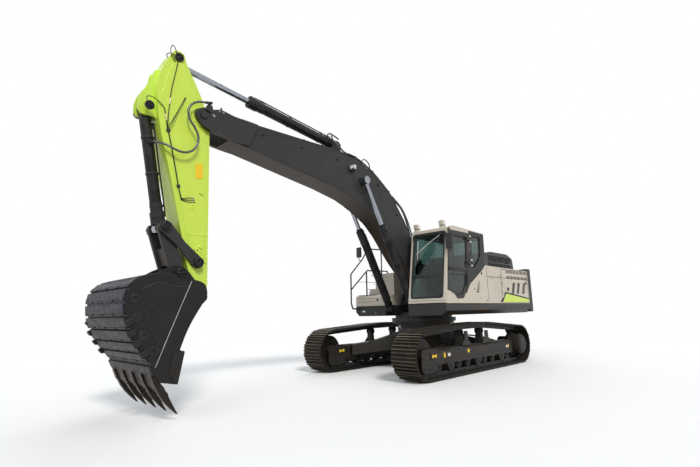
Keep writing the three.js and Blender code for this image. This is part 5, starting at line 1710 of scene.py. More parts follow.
def make_seat():
    """Suspension seat: simulated cushion and back, with arms and the levers beside it."""
    lows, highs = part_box("seat_cushion"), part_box("seat_back")
    trim = 0.018
    low, high = Vector(lows[0]) + Vector((trim,) * 3), Vector(lows[1]) - Vector((trim, trim, 0.030))
    cushion = place_piece(
        "seat_cushion_cover", cushion_mesh("seat_cushion_cover", low, high, 0.012, 0.09), "house",
        ["seat_cushion"]
    )
    low, high = highs
    lean = math.atan2(0.16, high[2] - low[2])
    back_low = Vector((low[0] + trim, 0.020, trim))
    back_high = Vector((high[0] - trim, 0.105, high[2] - low[2] - trim))
    swapped = cushion_mesh(
        "seat_back_cover", (back_low.x, back_low.z, back_low.y), (
            back_high.x, back_high.z, back_high.y
        ), 0.012, 0.10,
    )
    upright = Matrix.Translation((0, low[1] + 0.155, low[2])) @ Matrix.Rotation(-lean, 4, "X")
    stand = Matrix(((1, 0, 0, 0), (0, 0, -1, 0), (0, 1, 0, 0), (0, 0, 0, 1)))
    swapped.transform(upright @ stand)
    back = place_piece("seat_back_cover", swapped, "house", ["seat_back"])
    for piece in (cushion, back):
        puff(piece)
        piece.data.shade_smooth()
        round_off = piece.modifiers.new("round_off", "SUBSURF")
        round_off.levels = round_off.render_levels = 1
    shape = Shape("cab_plastic")
    low, high = lows
    for x in (low[0] - 0.075, high[0] + 0.02):
        shape.box(
            (x, low[1] + 0.12, high[2] + 0.10), (x + 0.055, high[1] - 0.02, high[2] + 0.15), 0.010,
            "z", 0.02
        )
        shape.box(
            (x + 0.012, high[1] - 0.14, low[2] - 0.02), (x + 0.043, high[1] - 0.06, high[2] + 0.11),
            0.008, "z", 0.012
        )
    shape.paint = "black_trim"
    for x in (low[0] - 0.20, high[0] + 0.20):
        foot = Vector((x, low[1] + 0.16, high[2] + 0.02))
        shape.turned(
            foot - Vector((0, 0, 0.05)), foot + Vector((0, 0, 1)),
            [(0, 0.04), (0.03, 0.034), (0.05, 0.022), (0.07, 0.014)], 16
        )
        shape.tube(
            [foot, foot + Vector((0, -0.01, 0.08)), foot + Vector((0, -0.02, 0.14))], 0.010, 8, 3
        )
        grip = foot + Vector((0, -0.02, 0.13))
        shape.turned(
            grip, grip + Vector((0, -0.05, 1)),
            [
                (0, 0.014), (0.01, 0.022), (0.05, 0.026), (0.09, 0.024), (0.115, 0.016),
                (0.12, 0.004)
            ],
            16
        )
    make_piece("seat_arms_and_levers", "house", shape)


def make_cab_inside():
    """Travel pedals with ribbed treads, their levers, and the monitor."""
    low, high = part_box("operator_station")
    shape = Shape("black_trim")
    middle = (low[0] + high[0]) / 2
    for side in (-1, 1):
        x = middle + side * 0.10
        foot = Vector((x, low[1] - 0.10, 1.545))
        shape.tube(
            [
                foot, foot + Vector((0, -0.02, 0.20)), foot + Vector((0, 0.03, 0.55)),
                foot + Vector((0, 0.06, 0.70))
            ],
            0.010, 8, 4
        )
        shape.turned(
            foot + Vector((0, 0.055, 0.66)), foot + Vector((0, 0.07, 1.2)),
            [(0, 0.012), (0.01, 0.02), (0.08, 0.024), (0.1, 0.012)], 14
        )
        shape.place = Matrix.Translation(foot) @ Matrix.Rotation(math.radians(28), 4, "X")
        shape.box((-0.055, -0.10, 0.0), (0.055, 0.10, 0.018), 0.005, "z", 0.015)
        for rib in range(6):
            shape.box(
                (-0.048, -0.085 + rib * 0.03, 0.016), (0.048, -0.075 + rib * 0.03, 0.023), 0.002
            )
        shape.place = Matrix()
    shape.paint = "cab_plastic"
    screen = Matrix.Translation((low[0] + 0.07, low[1] + 0.02, 2.30)) @ Matrix.Rotation(math.radians(22), 4, "Z") @ Matrix.Rotation(math.radians(-12), 4, "X")
    shape.place = screen
    shape.box((-0.02, 0.01, -0.26), (0.02, 0.05, -0.10), 0.006)
    shape.box((-0.13, 0.0, -0.12), (0.13, 0.05, 0.08), 0.008, "y", 0.02)
    shape.paint = "seal_rubber"
    shape.box((-0.11, 0.045, -0.10), (0.11, 0.053, 0.06), 0.003, "y", 0.01)
    shape.place = Matrix()
    make_piece("cab_controls", "house", shape)


def make_right_side():
    """Right deck boxes: anti-slip tops, grooves, lid seams, filler cap and latches."""
    shape = Shape("walkway_grip")
    low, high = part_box("tool_box")
    shape.box((low[0] + 0.04, low[1] + 0.03, 1.743), (high[0] - 0.30, low[1] + 0.30, 1.752), 0.002)
    shape.box((low[0] + 0.04, house(-0.50), 1.908), (high[0] - 0.04, high[1] - 0.34, 1.917), 0.002)
    shape.box(
        (low[0] + 0.06, high[1] - 0.20, high[2] - 0.003),
        (high[0] - 0.04, high[1] - 0.03, high[2] + 0.006), 0.002
    )
    tank_low, tank_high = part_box("fuel_tank")
    shape.box(
        (tank_low[0] + 0.20, tank_low[1] + 0.40, tank_high[2] - 0.003),
        (tank_high[0] - 0.06, tank_high[1] - 0.08, tank_high[2] + 0.006), 0.002
    )
    shape.paint = "black_trim"
    shape.turned(
        (-0.84, tank_low[1] + 0.22, tank_high[2]), (-0.84, tank_low[1] + 0.22, 9),
        [
            (-0.01, 0.085), (0.012, 0.085), (0.018, 0.06), (0.05, 0.06), (0.058, 0.05),
            (0.058, 0.002)
        ],
        28
    )
    x = low[0]
    for y0, y1, z0, z1 in (
        (low[1] + 0.05, low[1] + 0.36, 1.52, 1.70), (house(-0.50), high[1] - 0.06, 1.52, 1.86)
    ):
        for a, b in (
            ((y0, z0), (y1, z0 + 0.006)), ((y0, z1), (y1, z1 + 0.006)),
            ((y0, z0), (y0 + 0.006, z1)), ((y1, z0), (y1 + 0.006, z1))
        ):
            shape.box((x - 0.003, *a), (x + 0.004, *b), 0.001, "x")
        shape.box(
            (x - 0.010, (y0 + y1) / 2 - 0.04, z1 - 0.07),
            (x + 0.004, (y0 + y1) / 2 + 0.04, z1 - 0.03), 0.003, "x", 0.01
        )
    front = low[1]
    for z in (1.575, 1.655):
        shape.box(
            (low[0] + 0.08, front - 0.003, z), (high[0] - 0.32, front + 0.004, z + 0.007), 0.001,
            "y"
        )
    shape.turned(
        (high[0] - 0.24, front, 1.62), (high[0] - 0.24, front - 1, 1.62),
        [(-0.004, 0.03), (0.004, 0.03), (0.005, 0.02), (0.002, 0.002)], 24
    )
    make_piece("right_deck_fittings", "house", shape)


def make_bay_hoses():
    """Between the cab and the right boxes: the swivel's, boom cylinders' and valve's hoses."""
    shape = Shape("hose_cover")
    for lane in range(7):
        x = -0.20 + lane * 0.068
        rise = 0.012 * math.sin(lane * 1.9)
        shape.tube([
            (x, house(0.50), 1.505), (x + 0.01, house(0.10), 1.505 + rise), (
                x - 0.01, house(-0.15), 1.505 + rise
            ),
            (x + 0.02 * math.cos(lane), house(-0.27), 1.50), (x, house(-0.34), 1.485),
        ], 0.016, 12, 6)
    shape.paint = "black_steel"
    shape.box((-0.28, house(-0.46), 1.475), (0.28, house(-0.32), 1.50), 0.008, "z", 0.02)
    shape.box((-0.24, house(0.28), 1.475), (0.24, house(0.62), 1.56), 0.012, "z", 0.02)
    shape.paint = "pin_steel"
    for lane in range(6):
        x = -0.17 + lane * 0.068
        shape.turned(
            (x, house(0.27), 1.525), (x, house(0.0), 1.525),
            [(0, 0.026), (0.03, 0.026), (0.034, 0.018), (0.06, 0.018)], 6
        )
    make_piece("house_bay_hoses", "house", shape)


def make_house():
    for name, side in (("left", 1), ("right", -1)):
        make_side_panels(name, side)
    make_left_panel()
    make_skirt()
    make_hood()
    make_counterweight()
    make_windshield_trim()
    make_cab_fittings()
    make_door_trim()
    make_window_seals()
    make_seat()
    make_cab_inside()
    make_right_side()
    make_bay_hoses()


# ---------------------------------------------------------------- boom

BOOM = Member("boom", 23.07)
STICK = Member("stick", -92.15)
BUCKET = Member("bucket", -74.33)
BOOM_HALF = 0.244
STICK_HALF = 0.205
BUCKET_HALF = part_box("bucket")[1][0]
LIP_START = 1.112


def lug(shape, centre, side, size=0.026):
    """A small welded lug with its bolt, on a member's side."""
    start = Vector(centre)
    out = Vector((side, 0, 0))
    shape.turned(
        start - out * 0.004, start + out,
        [
            (0, size), (0.022, size), (0.026, size * 0.8), (0.026, size * 0.3),
            (0.036, size * 0.28), (0.036, 0.002)
        ],
        12
    )


def ring_boss(shape, centre, side, radius, height=0.014):
    """A pressed ring round a cross tube's end."""
    start = Vector(centre)
    shape.turned(start, start + Vector((side, 0, 0)), [
        (-0.004, radius), (height * 0.6, radius), (height, radius * 0.94), (height, radius * 0.80),
        (height * 0.4, radius * 0.74), (height * 0.4, radius * 0.44), (height, radius * 0.40), (height, 0.002),
    ], 40)


def weld_seam(shape, points, radius=0.005):
    """A weld bead between plates: a thin cord along the seam."""
    shape.tube(points, radius, 6, 3)


def make_boom_details():
    shape = Shape("charcoal_paint", BOOM.place)
    tip = 6.51
    for side in (-1, 1):
        face = side * BOOM_HALF
        shape.turned((face, 0, 0), (face + side, 0, 0), [
            (-0.004, 0.19), (0.010, 0.19), (0.014, 0.18), (0.014, 0.135), (0.022, 0.128), (0.022, 0.002),
        ], 40)
        ring_boss(shape, (face, 2.93, 1.08), side, 0.19, 0.018)
        ring_boss(shape, (face, tip - 0.72, 0.20), side, 0.10, 0.010)
        for reach, top, bottom in (
            (1.35, 1.06, 0.34), (2.28, 1.44, 0.62), (4.05, 1.20, 0.46), (5.2, 0.66, 0.16)
        ):
            weld_seam(
                shape,
                [
                    (face, reach, bottom + 0.03), (face, reach + 0.02, (top + bottom) / 2),
                    (face, reach, top - 0.03)
                ]
            )
        rim_top = [
            (1.20, 0.96), (1.82, 1.33), (2.24, 1.45), (2.64, 1.52), (3.01, 1.54), (3.34, 1.50),
            (4.28, 1.12), (5.37, 0.60), (6.16, 0.33)
        ]
        rim_low = [
            (1.26, 0.30), (1.58, 0.445), (2.16, 0.615), (2.81, 0.655), (3.44, 0.63), (4.23, 0.415),
            (5.14, 0.17), (5.82, 0.025), (6.30, -0.11)
        ]
        for rim in (rim_top, rim_low):
            weld_seam(shape, [(face, reach, rise) for reach, rise in rim], 0.006)
    shape.paint = "black_steel"
    for side in (-1, 1):
        pin_cap(shape, (side * 0.258, 0, 0), side, 0.085, 0.024, 0.4)
        pin_cap(shape, (side * 0.262, tip, 0), side, 0.078, 0.024, 1.9)
    for side in (-1, 1):
        face = side * BOOM_HALF
        shape.paint = "pin_steel"
        shape.plate(
            [(tip - 0.16, 0.085), (tip - 0.02, 0.135), (tip - 0.03, 0.165), (tip - 0.17, 0.115)],
            side * 0.262, side * 0.304, "x", 0.004, 0.01,
        )
        shape.paint = "charcoal_paint"
        shape.plate(
            [(6.215, 0.229), (6.30, 0.36), (6.325, 0.345), (6.24, 0.214)], face - side * 0.004,
            face + side * 0.014, "x", 0.003,
        )
        shape.paint = "black_steel"
        for reach, rise in (
            (5.436, 0.470), (4.616, 0.815), (3.755, 1.165), (2.448, 1.385), (1.614, 1.075)
        ):
            lug(shape, (face, reach, rise), side, 0.026)
    make_piece("boom_fittings", "boom", shape)


def boom_top(reach):
    """Rise of the boom's top plate at a reach along it."""
    profile = [
        (1.063, .917), (1.199, 1.008), (1.476, 1.213), (1.814, 1.373), (2.245, 1.491), (2.644, 1.559),
        (3.01, 1.58), (3.336, 1.535), (3.767, 1.387), (4.276, 1.153), (4.961, .832), (5.374, .639),
        (5.767, .485), (6.16, .356), (6.388, .239),
    ]
    return float(np.interp(reach, [p[0] for p in profile], [p[1] for p in profile]))


def clamp_block(shape, reach, rise, xs, tall=0.05):
    """A split clamp that holds a row of pipes: pad, top plate and its bolts."""
    kept = shape.paint
    shape.paint = "black_trim"
    low, high = min(xs) - 0.03, max(xs) + 0.03
    shape.box((low, reach - 0.022, rise - 0.01), (high, reach + 0.022, rise + tall), 0.004)
    shape.paint = "pin_steel"
    shape.box(
        (low, reach - 0.018, rise + tall - 0.001), (high, reach + 0.018, rise + tall + 0.005), 0.002
    )
    middle = (low + high) / 2
    shape.bolt((middle, reach, rise + tall + 0.005), (0, 0, 1), 0.008, 0.008)
    shape.paint = kept


def make_boom_pipes():
    """Steel pipes along the boom's top with clamps, and the looping hoses at both their ends."""
    shape = Shape("black_steel", BOOM.place)
    lanes = [(0.155, 0.016), (0.205, 0.016), (-0.155, 0.016), (-0.205, 0.016), (-0.105, 0.012)]
    for x, radius in lanes:
        last = 6.0 if abs(x) < 0.16 else 3.62
        reaches = np.arange(1.9, last, 0.24)
        lift = radius + 0.022
        shape.tube([(x, reach, boom_top(reach) + lift) for reach in reaches], radius, 10, 3)
    for reach in (2.05, 2.7, 3.3):
        clamp_block(shape, reach, boom_top(reach), (0.155, 0.205))
        clamp_block(shape, reach, boom_top(reach), (-0.105, -0.205))
    for reach in (3.9, 4.6, 5.3, 5.85):
        clamp_block(shape, reach, boom_top(reach), (0.155,))
        clamp_block(shape, reach, boom_top(reach), (-0.105, -0.155))
    shape.paint = "hose_cover"
    for lane, x in enumerate((0.205, 0.155, -0.155, -0.205)):
        out = math.copysign(0.03, x)
        start = 1.9
        shape.tube([
            (x, start + 0.03, boom_top(start) + 0.038), (x, start - 0.10, boom_top(start) + 0.03),
            (x + out, 1.42, 1.30 + 0.03 * lane), (x + out * 0.6, 1.02, 1.02), (x, 0.74, 0.72),
            (x * 0.92, 0.50, 0.40), (x * 0.85, 0.28, 0.22),
        ], 0.018, 12, 6)
        shape.fitting((x, start + 0.10, boom_top(start + 0.1) + 0.038), (0, -1, -0.3), 0.018)
    for side in (-1, 1):
        for lane in range(2):
            x = side * (0.205 - lane * 0.05)
            end = 3.62 if lane == 0 else 3.70
            shape.tube([
                (x, end - 0.12, boom_top(end - 0.12) + 0.038), (x, end, boom_top(end) + 0.045),
                (x, end + 0.17, boom_top(end) + 0.06 + 0.04 * lane), (
                    x * 0.9, end + 0.33, boom_top(end) + 0.10 + 0.05 * lane
                ),
                (x * 0.72, end + 0.40, boom_top(end) + 0.19), (
                    x * 0.55, end + 0.33, boom_top(end) + 0.27 + 0.03 * lane
                ),
                (side * (0.108 - 0.01 * lane), end + 0.18, boom_top(end) + 0.29 + 0.03 * lane),
            ], 0.017, 12, 6)
            shape.fitting((x, end - 0.1, boom_top(end - 0.1) + 0.038), (0, 1, -0.25), 0.017)
    for side in (-1, 1):
        shape.tube([
            (
                side * 0.12, 2.86, boom_top(2.86) + 0.03
            ), (side * 0.13, 2.74, 1.66), (side * 0.17, 2.84, 1.74),
            (side * 0.20, 3.02, 1.72), (side * 0.21, 3.10, boom_top(3.1) + 0.03),
        ], 0.014, 10, 6)
    for side in (-1, 1):
        x = side * 0.14
        shape.tube([
            (
                x, 5.90, boom_top(5.9) + 0.034
            ), (x, 6.08, boom_top(6.08) + 0.05), (x * 1.15, 6.28, 0.36),
            (x * 1.25, 6.42, 0.22), (x * 1.2, 6.50, 0.14),
        ], 0.015, 10, 6)
    make_piece("boom_pipes", "boom", shape)


def make_boom_lamp():
    lamp = Shape()
    place = BOOM.at(3.33, 1.20, BOOM_HALF + 0.075)
    make_lamp(lamp, place - Vector((0, 0, 0.02)), 8, (0.12, 0.08, 0.10))
    lamp.paint = "black_steel"
    lamp.box(place + Vector((-0.08, -0.03, -0.066)), place + Vector((0.05, 0.03, -0.056)), 0.003)
    make_piece("boom_lamp", "boom", lamp)


# ---------------------------------------------------------------- stick

def make_stick_details():
    shape = Shape("lime_paint", STICK.place)
    for side in (-1, 1):
        face = side * STICK_HALF
        panel = [
            (-0.86, 0.32), (-0.62, 0.24), (-0.30, 0.06), (0.10, -0.05), (0.55, -0.09), (2.30, -0.085),
            (2.52, -0.06), (2.50, 0.08), (2.20, 0.15), (1.60, 0.28), (1.10, 0.41), (0.75, 0.50), (0.30, 0.60),
            (-0.18, 0.655), (-0.36, 0.60), (-0.62, 0.54), (-0.78, 0.47),
        ]
        shape.plate(panel, face - side * 0.004, face + side * 0.0085, "x", 0.006, 0.09)
        ring_boss(shape, (face + side * 0.006, 0, 0), side, 0.165, 0.016)
        ring_boss(shape, (face + side * 0.004, 2.28, 0.02), side, 0.10, 0.012)
        for reach, low, high in ((1.95, -0.12, 0.22), (2.38, -0.12, 0.15)):
            weld_seam(
                shape,
                [
                    (face + side * 0.009, reach, low),
                    (face + side * 0.010, reach + 0.01, (low + high) / 2),
                    (face + side * 0.009, reach, high)
                ],
                0.004
            )
        shape.torus((face + side * 0.010, 1.52, 0.12), (1, 0, 0), 0.032, 0.006, 20, 6)
    shape.paint = "black_steel"
    top = STICK.place.inverted() @ Vector(JOINTS["bucket_cylinder_tilt"]["pos_m"])
    eye = STICK.place.inverted() @ Vector((0, -4.73834, 5.38079))
    for side in (-1, 1):
        pin_cap(shape, (side * 0.222, top.y, top.z), side, 0.070, 0.022, -0.9)
        pin_cap(shape, (side * 0.217, eye.y, eye.z), side, 0.072, 0.02, 0.8)
        pin_cap(shape, (side * 0.258, 2.902, 0.0), side, 0.070, 0.02)
        rock = STICK.place.inverted() @ Vector(JOINTS["rocker"]["pos_m"])
        pin_cap(shape, (side * 0.296, rock.y, rock.z), side, 0.068, 0.02, 0.3)
    make_piece("stick_fittings", "stick", shape)


def make_stick_lines():
    """Grease lines, their clips and nipples, blank plates, the rail strip and small brackets."""
    shape = Shape("black_steel", STICK.place)
    face = STICK_HALF + 0.012
    eye = STICK.place.inverted() @ Vector((0, -4.73834, 5.38079))
    top = STICK.place.inverted() @ Vector(JOINTS["bucket_cylinder_tilt"]["pos_m"])
    join = (0.375, 0.530)
    over_pin = [
        (eye.y + 0.10, eye.z + 0.06), (-0.926, 0.527), (-1.061, 0.505), (-0.993, 0.445), (-0.808, 0.412),
        (-0.668, 0.432), (-0.305, 0.497), (-0.010, 0.525), (0.244, 0.538), join,
    ]
    from_bracket = [
        (top.y - 0.02, top.z + 0.02), (-0.073, 0.86), (-0.096, 0.80), (-0.075, 0.72), (0.003, 0.618),
        (0.071, 0.587), (0.249, 0.556), (join[0], join[1] + 0.014),
    ]
    third = [
        (-0.240, 0.272), (-0.08, 0.345), (0.067, 0.410), (0.200, 0.470), (0.284, 0.513),
        (join[0], join[1] - 0.014)
    ]
    down = [join, (0.57, 0.485), (0.891, 0.417), (1.220, 0.352), (1.335, 0.324), (1.425, 0.300)]
    for line, radius in (
        (over_pin, 0.0065), (from_bracket, 0.0065), (third, 0.0055), (down, 0.009)
    ):
        shape.tube([(face + 0.006, reach, rise) for reach, rise in line], radius, 8, 6)
    ends = ((1.376, 0.134), (1.409, 0.125), (1.440, 0.113))
    for lane, (reach, rise) in enumerate(ends):
        start = 1.402 + 0.017 * lane
        shape.tube([
            (face + 0.004, start - 0.010, 0.304), (face + 0.004, start + 0.004, 0.270),
            (face + 0.004, reach + 0.010, rise + 0.060), (face + 0.004, reach, rise),
        ], 0.0045, 8, 5)
    for (reach, rise), (ahead, up) in (((-0.16, 0.512), (1, 0.1)), ((0.12, 0.578), (1, -0.16))):
        shape.fitting((face + 0.006, reach, rise), (0, ahead, up), 0.010)
    shape.paint = "black_trim"
    for reach, rise in (join, (1.220, 0.352)):
        shape.box(
            (face - 0.004, reach - 0.020, rise - 0.026),
            (face + 0.018, reach + 0.020, rise + 0.026), 0.003, "x"
        )
    for reach, rise in ends:
        tip = Vector((face + 0.004, reach, rise))
        far = tip + Vector((0, 0.10, -1))
        shape.paint = "pin_steel"
        shape.turned(tip, far, [(-0.006, 0.008), (0.016, 0.009), (0.020, 0.006)], 10)
        shape.paint = "cap_red"
        shape.turned(tip, far, [(0.019, 0.0085), (0.030, 0.0085), (0.034, 0.004)], 10)
    shape.paint = "black_trim"
    steps = 22
    for step in range(steps):
        share = step / (steps - 1)
        reach, rise = 0.375 - 0.615 * share, 0.505 - 0.235 * share
        for shift in (-0.010, 0.010):
            place = Vector((face, reach + shift * 0.38, rise - shift * 0.92))
            shape.turned(
                place, place + Vector((1, 0, 0)),
                [(-0.006, 0.0065), (0.003, 0.0065), (0.005, 0.004)], 8
            )
    shape.paint = "plate_yellow"
    shape.plate(
        [
            (0.814, 0.085), (0.790, -0.034), (1.040, -0.039), (1.060, 0.080)
        ], face - 0.006, face + 0.0015, "x", 0.001,
    )
    shape.paint = "lime_paint"
    for reach in (1.24, 2.10):
        shape.plate(
            [(reach, -0.05), (reach + 0.08, -0.05), (reach + 0.04, 0.03)], face - 0.006,
            face + 0.012, "x", 0.003, 0.01
        )
        shape.torus((face + 0.012, reach + 0.04, -0.025), (1, 0, 0), 0.010, 0.003, 12, 6)
    shape.box((face - 0.006, 2.16, 0.0), (face + 0.022, 2.30, 0.08), 0.005, "x", 0.008)
    shape.paint = "black_steel"
    for reach in (2.195, 2.265):
        shape.bolt((face + 0.021, reach, 0.04), (1, 0, 0), 0.009, 0.007)
    shape.tube(
        [
            (0.06, eye.y + 0.02, eye.z + 0.10), (0.08, eye.y - 0.05, eye.z + 0.145),
            (0.15, eye.y - 0.06, eye.z + 0.12), (0.222, eye.y - 0.01, eye.z + 0.09),
            (0.228, eye.y + 0.05, eye.z + 0.03)
        ],
        0.007, 8, 6
    )
    make_piece("stick_lines_and_plates", "stick", shape)


# ---------------------------------------------------------------- bucket and linkage

BUCKET_BACK = [
    (-0.087, .477), (-0.081, .607), (-0.054, .837), (.022, .985), (.095, 1.088), (.173, 1.147), (.271, 1.173),
    (.394, 1.159), (.529, 1.108), (.660, 1.041), (.801, .917), (.916, .775), (1.019, .624), (1.115, .551),
    (1.218, .450),
]


def make_bucket_details():
    # Wear strips: their finish carries painted sky reflection and painted ground bounce.
    shape = Shape("wear_steel", BUCKET.place)
    lengths = [0.0]
    for before, after in zip(BUCKET_BACK, BUCKET_BACK[1:]):
        lengths.append(lengths[-1] + math.dist(before, after))

    def on_back(distance, proud):
        d = float(np.interp(distance, lengths, [p[0] for p in BUCKET_BACK]))
        n = float(np.interp(distance, lengths, [p[1] for p in BUCKET_BACK]))
        d2 = float(np.interp(distance + 0.02, lengths, [p[0] for p in BUCKET_BACK]))
        n2 = float(np.interp(distance + 0.02, lengths, [p[1] for p in BUCKET_BACK]))
        along = Vector((d2 - d, n2 - n)).normalized() if math.dist((d, n), (d2, n2)) > 1e-6 else Vector((0.7, -0.7))
        out = Vector((-along.y, along.x))
        return d + out.x * proud, n + out.y * proud

    strips = 11
    start, end = 0.14, lengths[-1] - 0.05
    pitch = (end - start) / strips
    reach = BUCKET_HALF - 0.012
    notch = 0.05
    for index in range(strips):
        low = start + index * pitch + 0.012
        high = low + pitch - 0.028
        if index == strips - 1:
            low += 0.02
        for back, front in ((low, high - 0.022), (high - 0.0225, high)):
            ring = [on_back(back, -0.012), on_back(back, 0.016), on_back(back + 0.006, 0.022)]
            ring += [on_back(front - 0.006, 0.022), on_back(front, 0.016), on_back(front, -0.012)]
            whole = front < high or index == strips - 1
            gaps = [-reach, reach] if whole else [-reach, -reach * 0.55, 0.0, reach * 0.55, reach]
            for first, second in zip(gaps, gaps[1:]):
                inner_first = first if first == -reach else first + notch / 2
                inner_second = second if second == reach else second - notch / 2
                shape.plate(ring, inner_first, inner_second, "x", 0.003)
    shape.paint = "bucket_steel"
    for side in (-1, 1):
        face = side * BUCKET_HALF
        for d, n in ((.615, 1.005), (.735, .929), (.84, .817), (.938, .698)):
            turn = -0.88
            out_d, out_n = d + 0.030 * math.sin(-turn), n + 0.030 * math.cos(turn)
            heel = [(-0.044, -0.062), (0.038, -0.062), (0.044, 0.046), (-0.038, 0.054)]
            outline = [
                (
                    out_d + u * math.cos(turn) - v * math.sin(turn),
                    out_n + u * math.sin(turn) + v * math.cos(turn),
                )
                for u, v in heel
            ]
            shape.plate(outline, face - side * 0.05, face + side * 0.034, "x", 0.008, 0.02)
        shape.paint = "black_steel"
        for d, n in ((.344, 1.046), (.565, .95), (.748, .794), (.899, .61)):
            shape.turned((face, d, n), (face + side, d, n), [
                (-0.01, 0.062), (0.012, 0.062), (0.016, 0.056), (0.016, 0.030), (0.012, 0.026), (0.012, 0.002),
            ], 28)
        shape.paint = "bucket_steel"
        seam = [
            (-0.083, .419), (.10, .437), (.30, .456), (.458, .470), (.70, .492), (.92, .508),
            (1.084, .521)
        ]
        # The bead in bright steel: painted highlight along the weld.
        shape.paint = "pin_steel"
        weld_seam(shape, [(face + side * 0.002, d, n) for d, n in seam], 0.006)
        shape.paint = "black_trim"
        for groove in (
            [(.212, 1.011), (.075, .851), (.059, .645), (.008, .44)],
            [(.364, .956), (.514, .841), (.688, .694), (.815, .563)],
            [(.362, .949), (.418, .716), (.472, .483)],
        ):
            weld_seam(shape, [(face + side * 0.001, d, n) for d, n in groove], 0.007)
        shape.paint = "bucket_steel"
        cutter = [
            (.814, .212), (.916, .202), (1.092, .183), (1.244, .17), (1.222, .219), (1.101, .326), (.871, .359),
            (.823, .26),
        ]
        shape.plate(cutter, face - side * 0.010, face + side * 0.016, "x", 0.006, 0.03)
    shape.paint = "black_steel"
    link = BUCKET.place.inverted() @ Vector((0, -4.53991, 1.94750))
    for side in (-1, 1):
        pin_cap(shape, (side * 0.330, 0, 0), side, 0.078, 0.022, 0.2)
        pin_cap(shape, (side * 0.330, link.y, link.z), side, 0.072, 0.022, 1.2)
    make_piece("bucket_wear_parts", "bucket", shape)


def tapered(shape, x, sections):
    """A bar along the reach whose height and width change from section to section."""
    rings = []
    for reach, low, high, half in sections:
        outline = rounded(
            [(x - half, low), (x + half, low), (x + half * 0.88, high), (x - half * 0.88, high)],
            0.010, 2
        )
        rings.append([(u, reach, v) for u, v in outline])
    shape.rings(rings)


def make_teeth():
    """The lip plate with five long teeth: wedge adapters pinned on it, and pointed tips."""
    low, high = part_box("bucket_lip")
    shape = Shape("bucket_steel", BUCKET.place)
    lip = [
        (LIP_START, .500), (1.290, .345), (1.340, .270), (1.368, .300), (1.300, .400),
        (LIP_START, .548)
    ]
    shape.plate(lip, low[0], high[0], "x", 0.004)
    count = 5
    pitch = 2 * (BUCKET_HALF - 0.096) / (count - 1)
    for index in range(count):
        x = (index - (count - 1) / 2) * pitch
        shape.paint = "tooth_steel"
        tapered(shape, x, [
            (1.120, .515, .545, 0.034), (1.200, .440, .512, 0.050), (1.300, .304, .432, 0.056),
            (1.345, .258, .378, 0.052),
        ])
        tapered(shape, x, [
            (1.338, .266, .368, 0.044), (1.352, .240, .372, 0.057), (1.400, .205, .325, 0.052),
            (1.460, .140, .250, 0.042), (1.530, .064, .132, 0.030), (1.584, .000, .026, 0.017),
        ])
        shape.paint = "black_steel"
        shape.rod((x - 0.062, 1.315, 0.35), (x + 0.062, 1.315, 0.35), 0.014, 12)
    make_piece("bucket_teeth", "bucket", shape, ["bucket_lip"])


def make_linkage_details():
    shape = Shape("black_steel")
    head = Vector((0, -4.77980, 2.62029))
    for side in (-1, 1):
        pin_cap(shape, (side * 0.282, head.y, head.z), side, 0.062, 0.02, 0.7)
        pin_cap(shape, (side * 0.282, *JOINTS["rocker"]["pos_m"][1:]), side, 0.066, 0.02, 0.7)
    make_piece("rocker_pins", "rocker", shape)


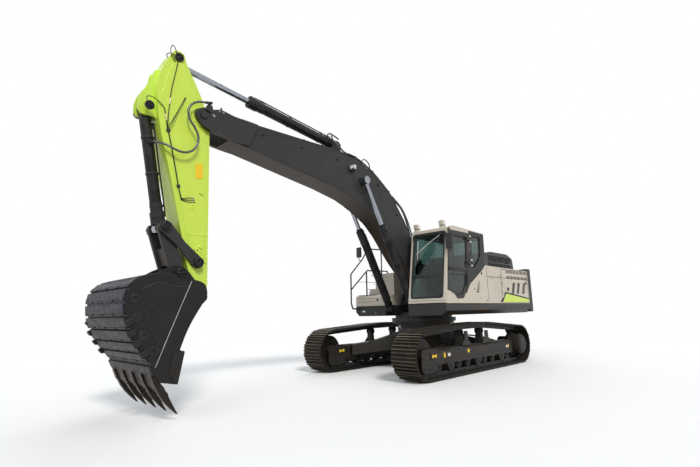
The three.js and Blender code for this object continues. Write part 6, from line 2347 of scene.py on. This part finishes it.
def make_cylinder_details(name, base_joint, rod, bore, barrel_length):
    """Clamp bands, port blocks, pipes and the bolted gland of one hydraulic cylinder."""
    slide = Vector(JOINTS[f"{name}_stroke"]["axis"]).normalized()
    pin = Vector(JOINTS[base_joint]["pos_m"])
    across = Vector((1, 0, 0))
    normal = slide.cross(across).normalized()
    if normal.z < 0 or name == "bucket_cylinder":
        normal = -normal
    place = Matrix((
        (across.x, slide.x, normal.x, pin.x), (across.y, slide.y, normal.y, pin.y),
        (across.z, slide.z, normal.z, pin.z), (0, 0, 0, 1),
    ))
    shape = Shape("black_steel", place)
    end = 0.145 + barrel_length
    tube = bore
    for reach in (0.42, 0.60 * barrel_length, end - 0.30):
        shape.turned(
            (0, reach, 0), (0, reach + 1, 0),
            [
                (0, tube + 0.001), (0.004, tube + 0.007), (0.034, tube + 0.007),
                (0.038, tube + 0.001)
            ],
            32
        )
        shape.box((-0.03, reach, tube - 0.002), (0.03, reach + 0.038, tube + 0.024), 0.004)
        shape.bolt((0, reach + 0.019, tube + 0.022), (0, 0, 1), 0.009, 0.008)
    collar = tube + (0.006 if name.startswith("boom") else 0.020)
    neck = 0.0 if name == "stick_cylinder" else 0.050
    gland = end - (0.016 if name == "stick_cylinder" else 0.0)
    shape.turned((0, gland - 0.19, 0), (0, gland + 1, 0), [
        (0, tube - 0.004), (0.004, collar - 0.004), (0.010, collar), (0.094, collar), (0.097, collar - 0.005),
        (0.103, collar - 0.005), (0.106, collar), (0.186, collar), (0.192, collar - 0.006), (0.1921, rod + 0.024),
        (0.1922 + neck, rod + 0.022), (0.1962 + neck, rod + 0.016), (0.1962 + neck, rod + 0.003), (0.18, rod + 0.003), (0.02, tube - 0.02),
    ], 40)
    shape.bolt_ring((0, gland + 0.001, 0), (0, 1, 0), (rod + 0.024 + collar) / 2, 12, 0.010, 0.010)
    shape.box((-0.035, 0.20, tube - 0.01), (0.035, 0.29, tube + 0.034), 0.006, "z", 0.01)
    shape.box(
        (-0.035, end - 0.20, tube - 0.01), (0.035, end - 0.11, tube + 0.034), 0.006, "z", 0.01
    )
    shape.tube([
        (0.018, 0.28, tube + 0.020), (0.018, 0.36, tube + 0.030), (0.018, end * 0.5, tube + 0.028),
        (0.018, end - 0.26, tube + 0.030), (0.018, end - 0.18, tube + 0.020),
    ], 0.012, 10, 5)
    make_piece(f"{name}_pipes", f"{name}_barrel", shape)


def make_arms():
    make_boom_details()
    make_boom_pipes()
    make_boom_lamp()
    make_stick_details()
    make_stick_lines()
    make_bucket_details()
    make_teeth()
    make_linkage_details()
    for side in ("left", "right"):
        make_cylinder_details(
            f"boom_cylinder_{side}", f"boom_cylinder_{side}_tilt", 0.050, 0.088, 1.905
        )
    make_cylinder_details("stick_cylinder", "stick_cylinder_tilt", 0.058, 0.096, 2.040)
    make_cylinder_details("bucket_cylinder", "bucket_cylinder_tilt", 0.054, 0.084, 1.630)


# ---------------------------------------------------------------- the whole machine

FINISHES = make_finishes()
make_camera()
make_stick_hose()
finish_frame_nodes()
make_undercarriage()
make_house()
make_arms()
make_stage()
make_lights()
bpy.context.scene.view_settings.view_transform = "Standard"
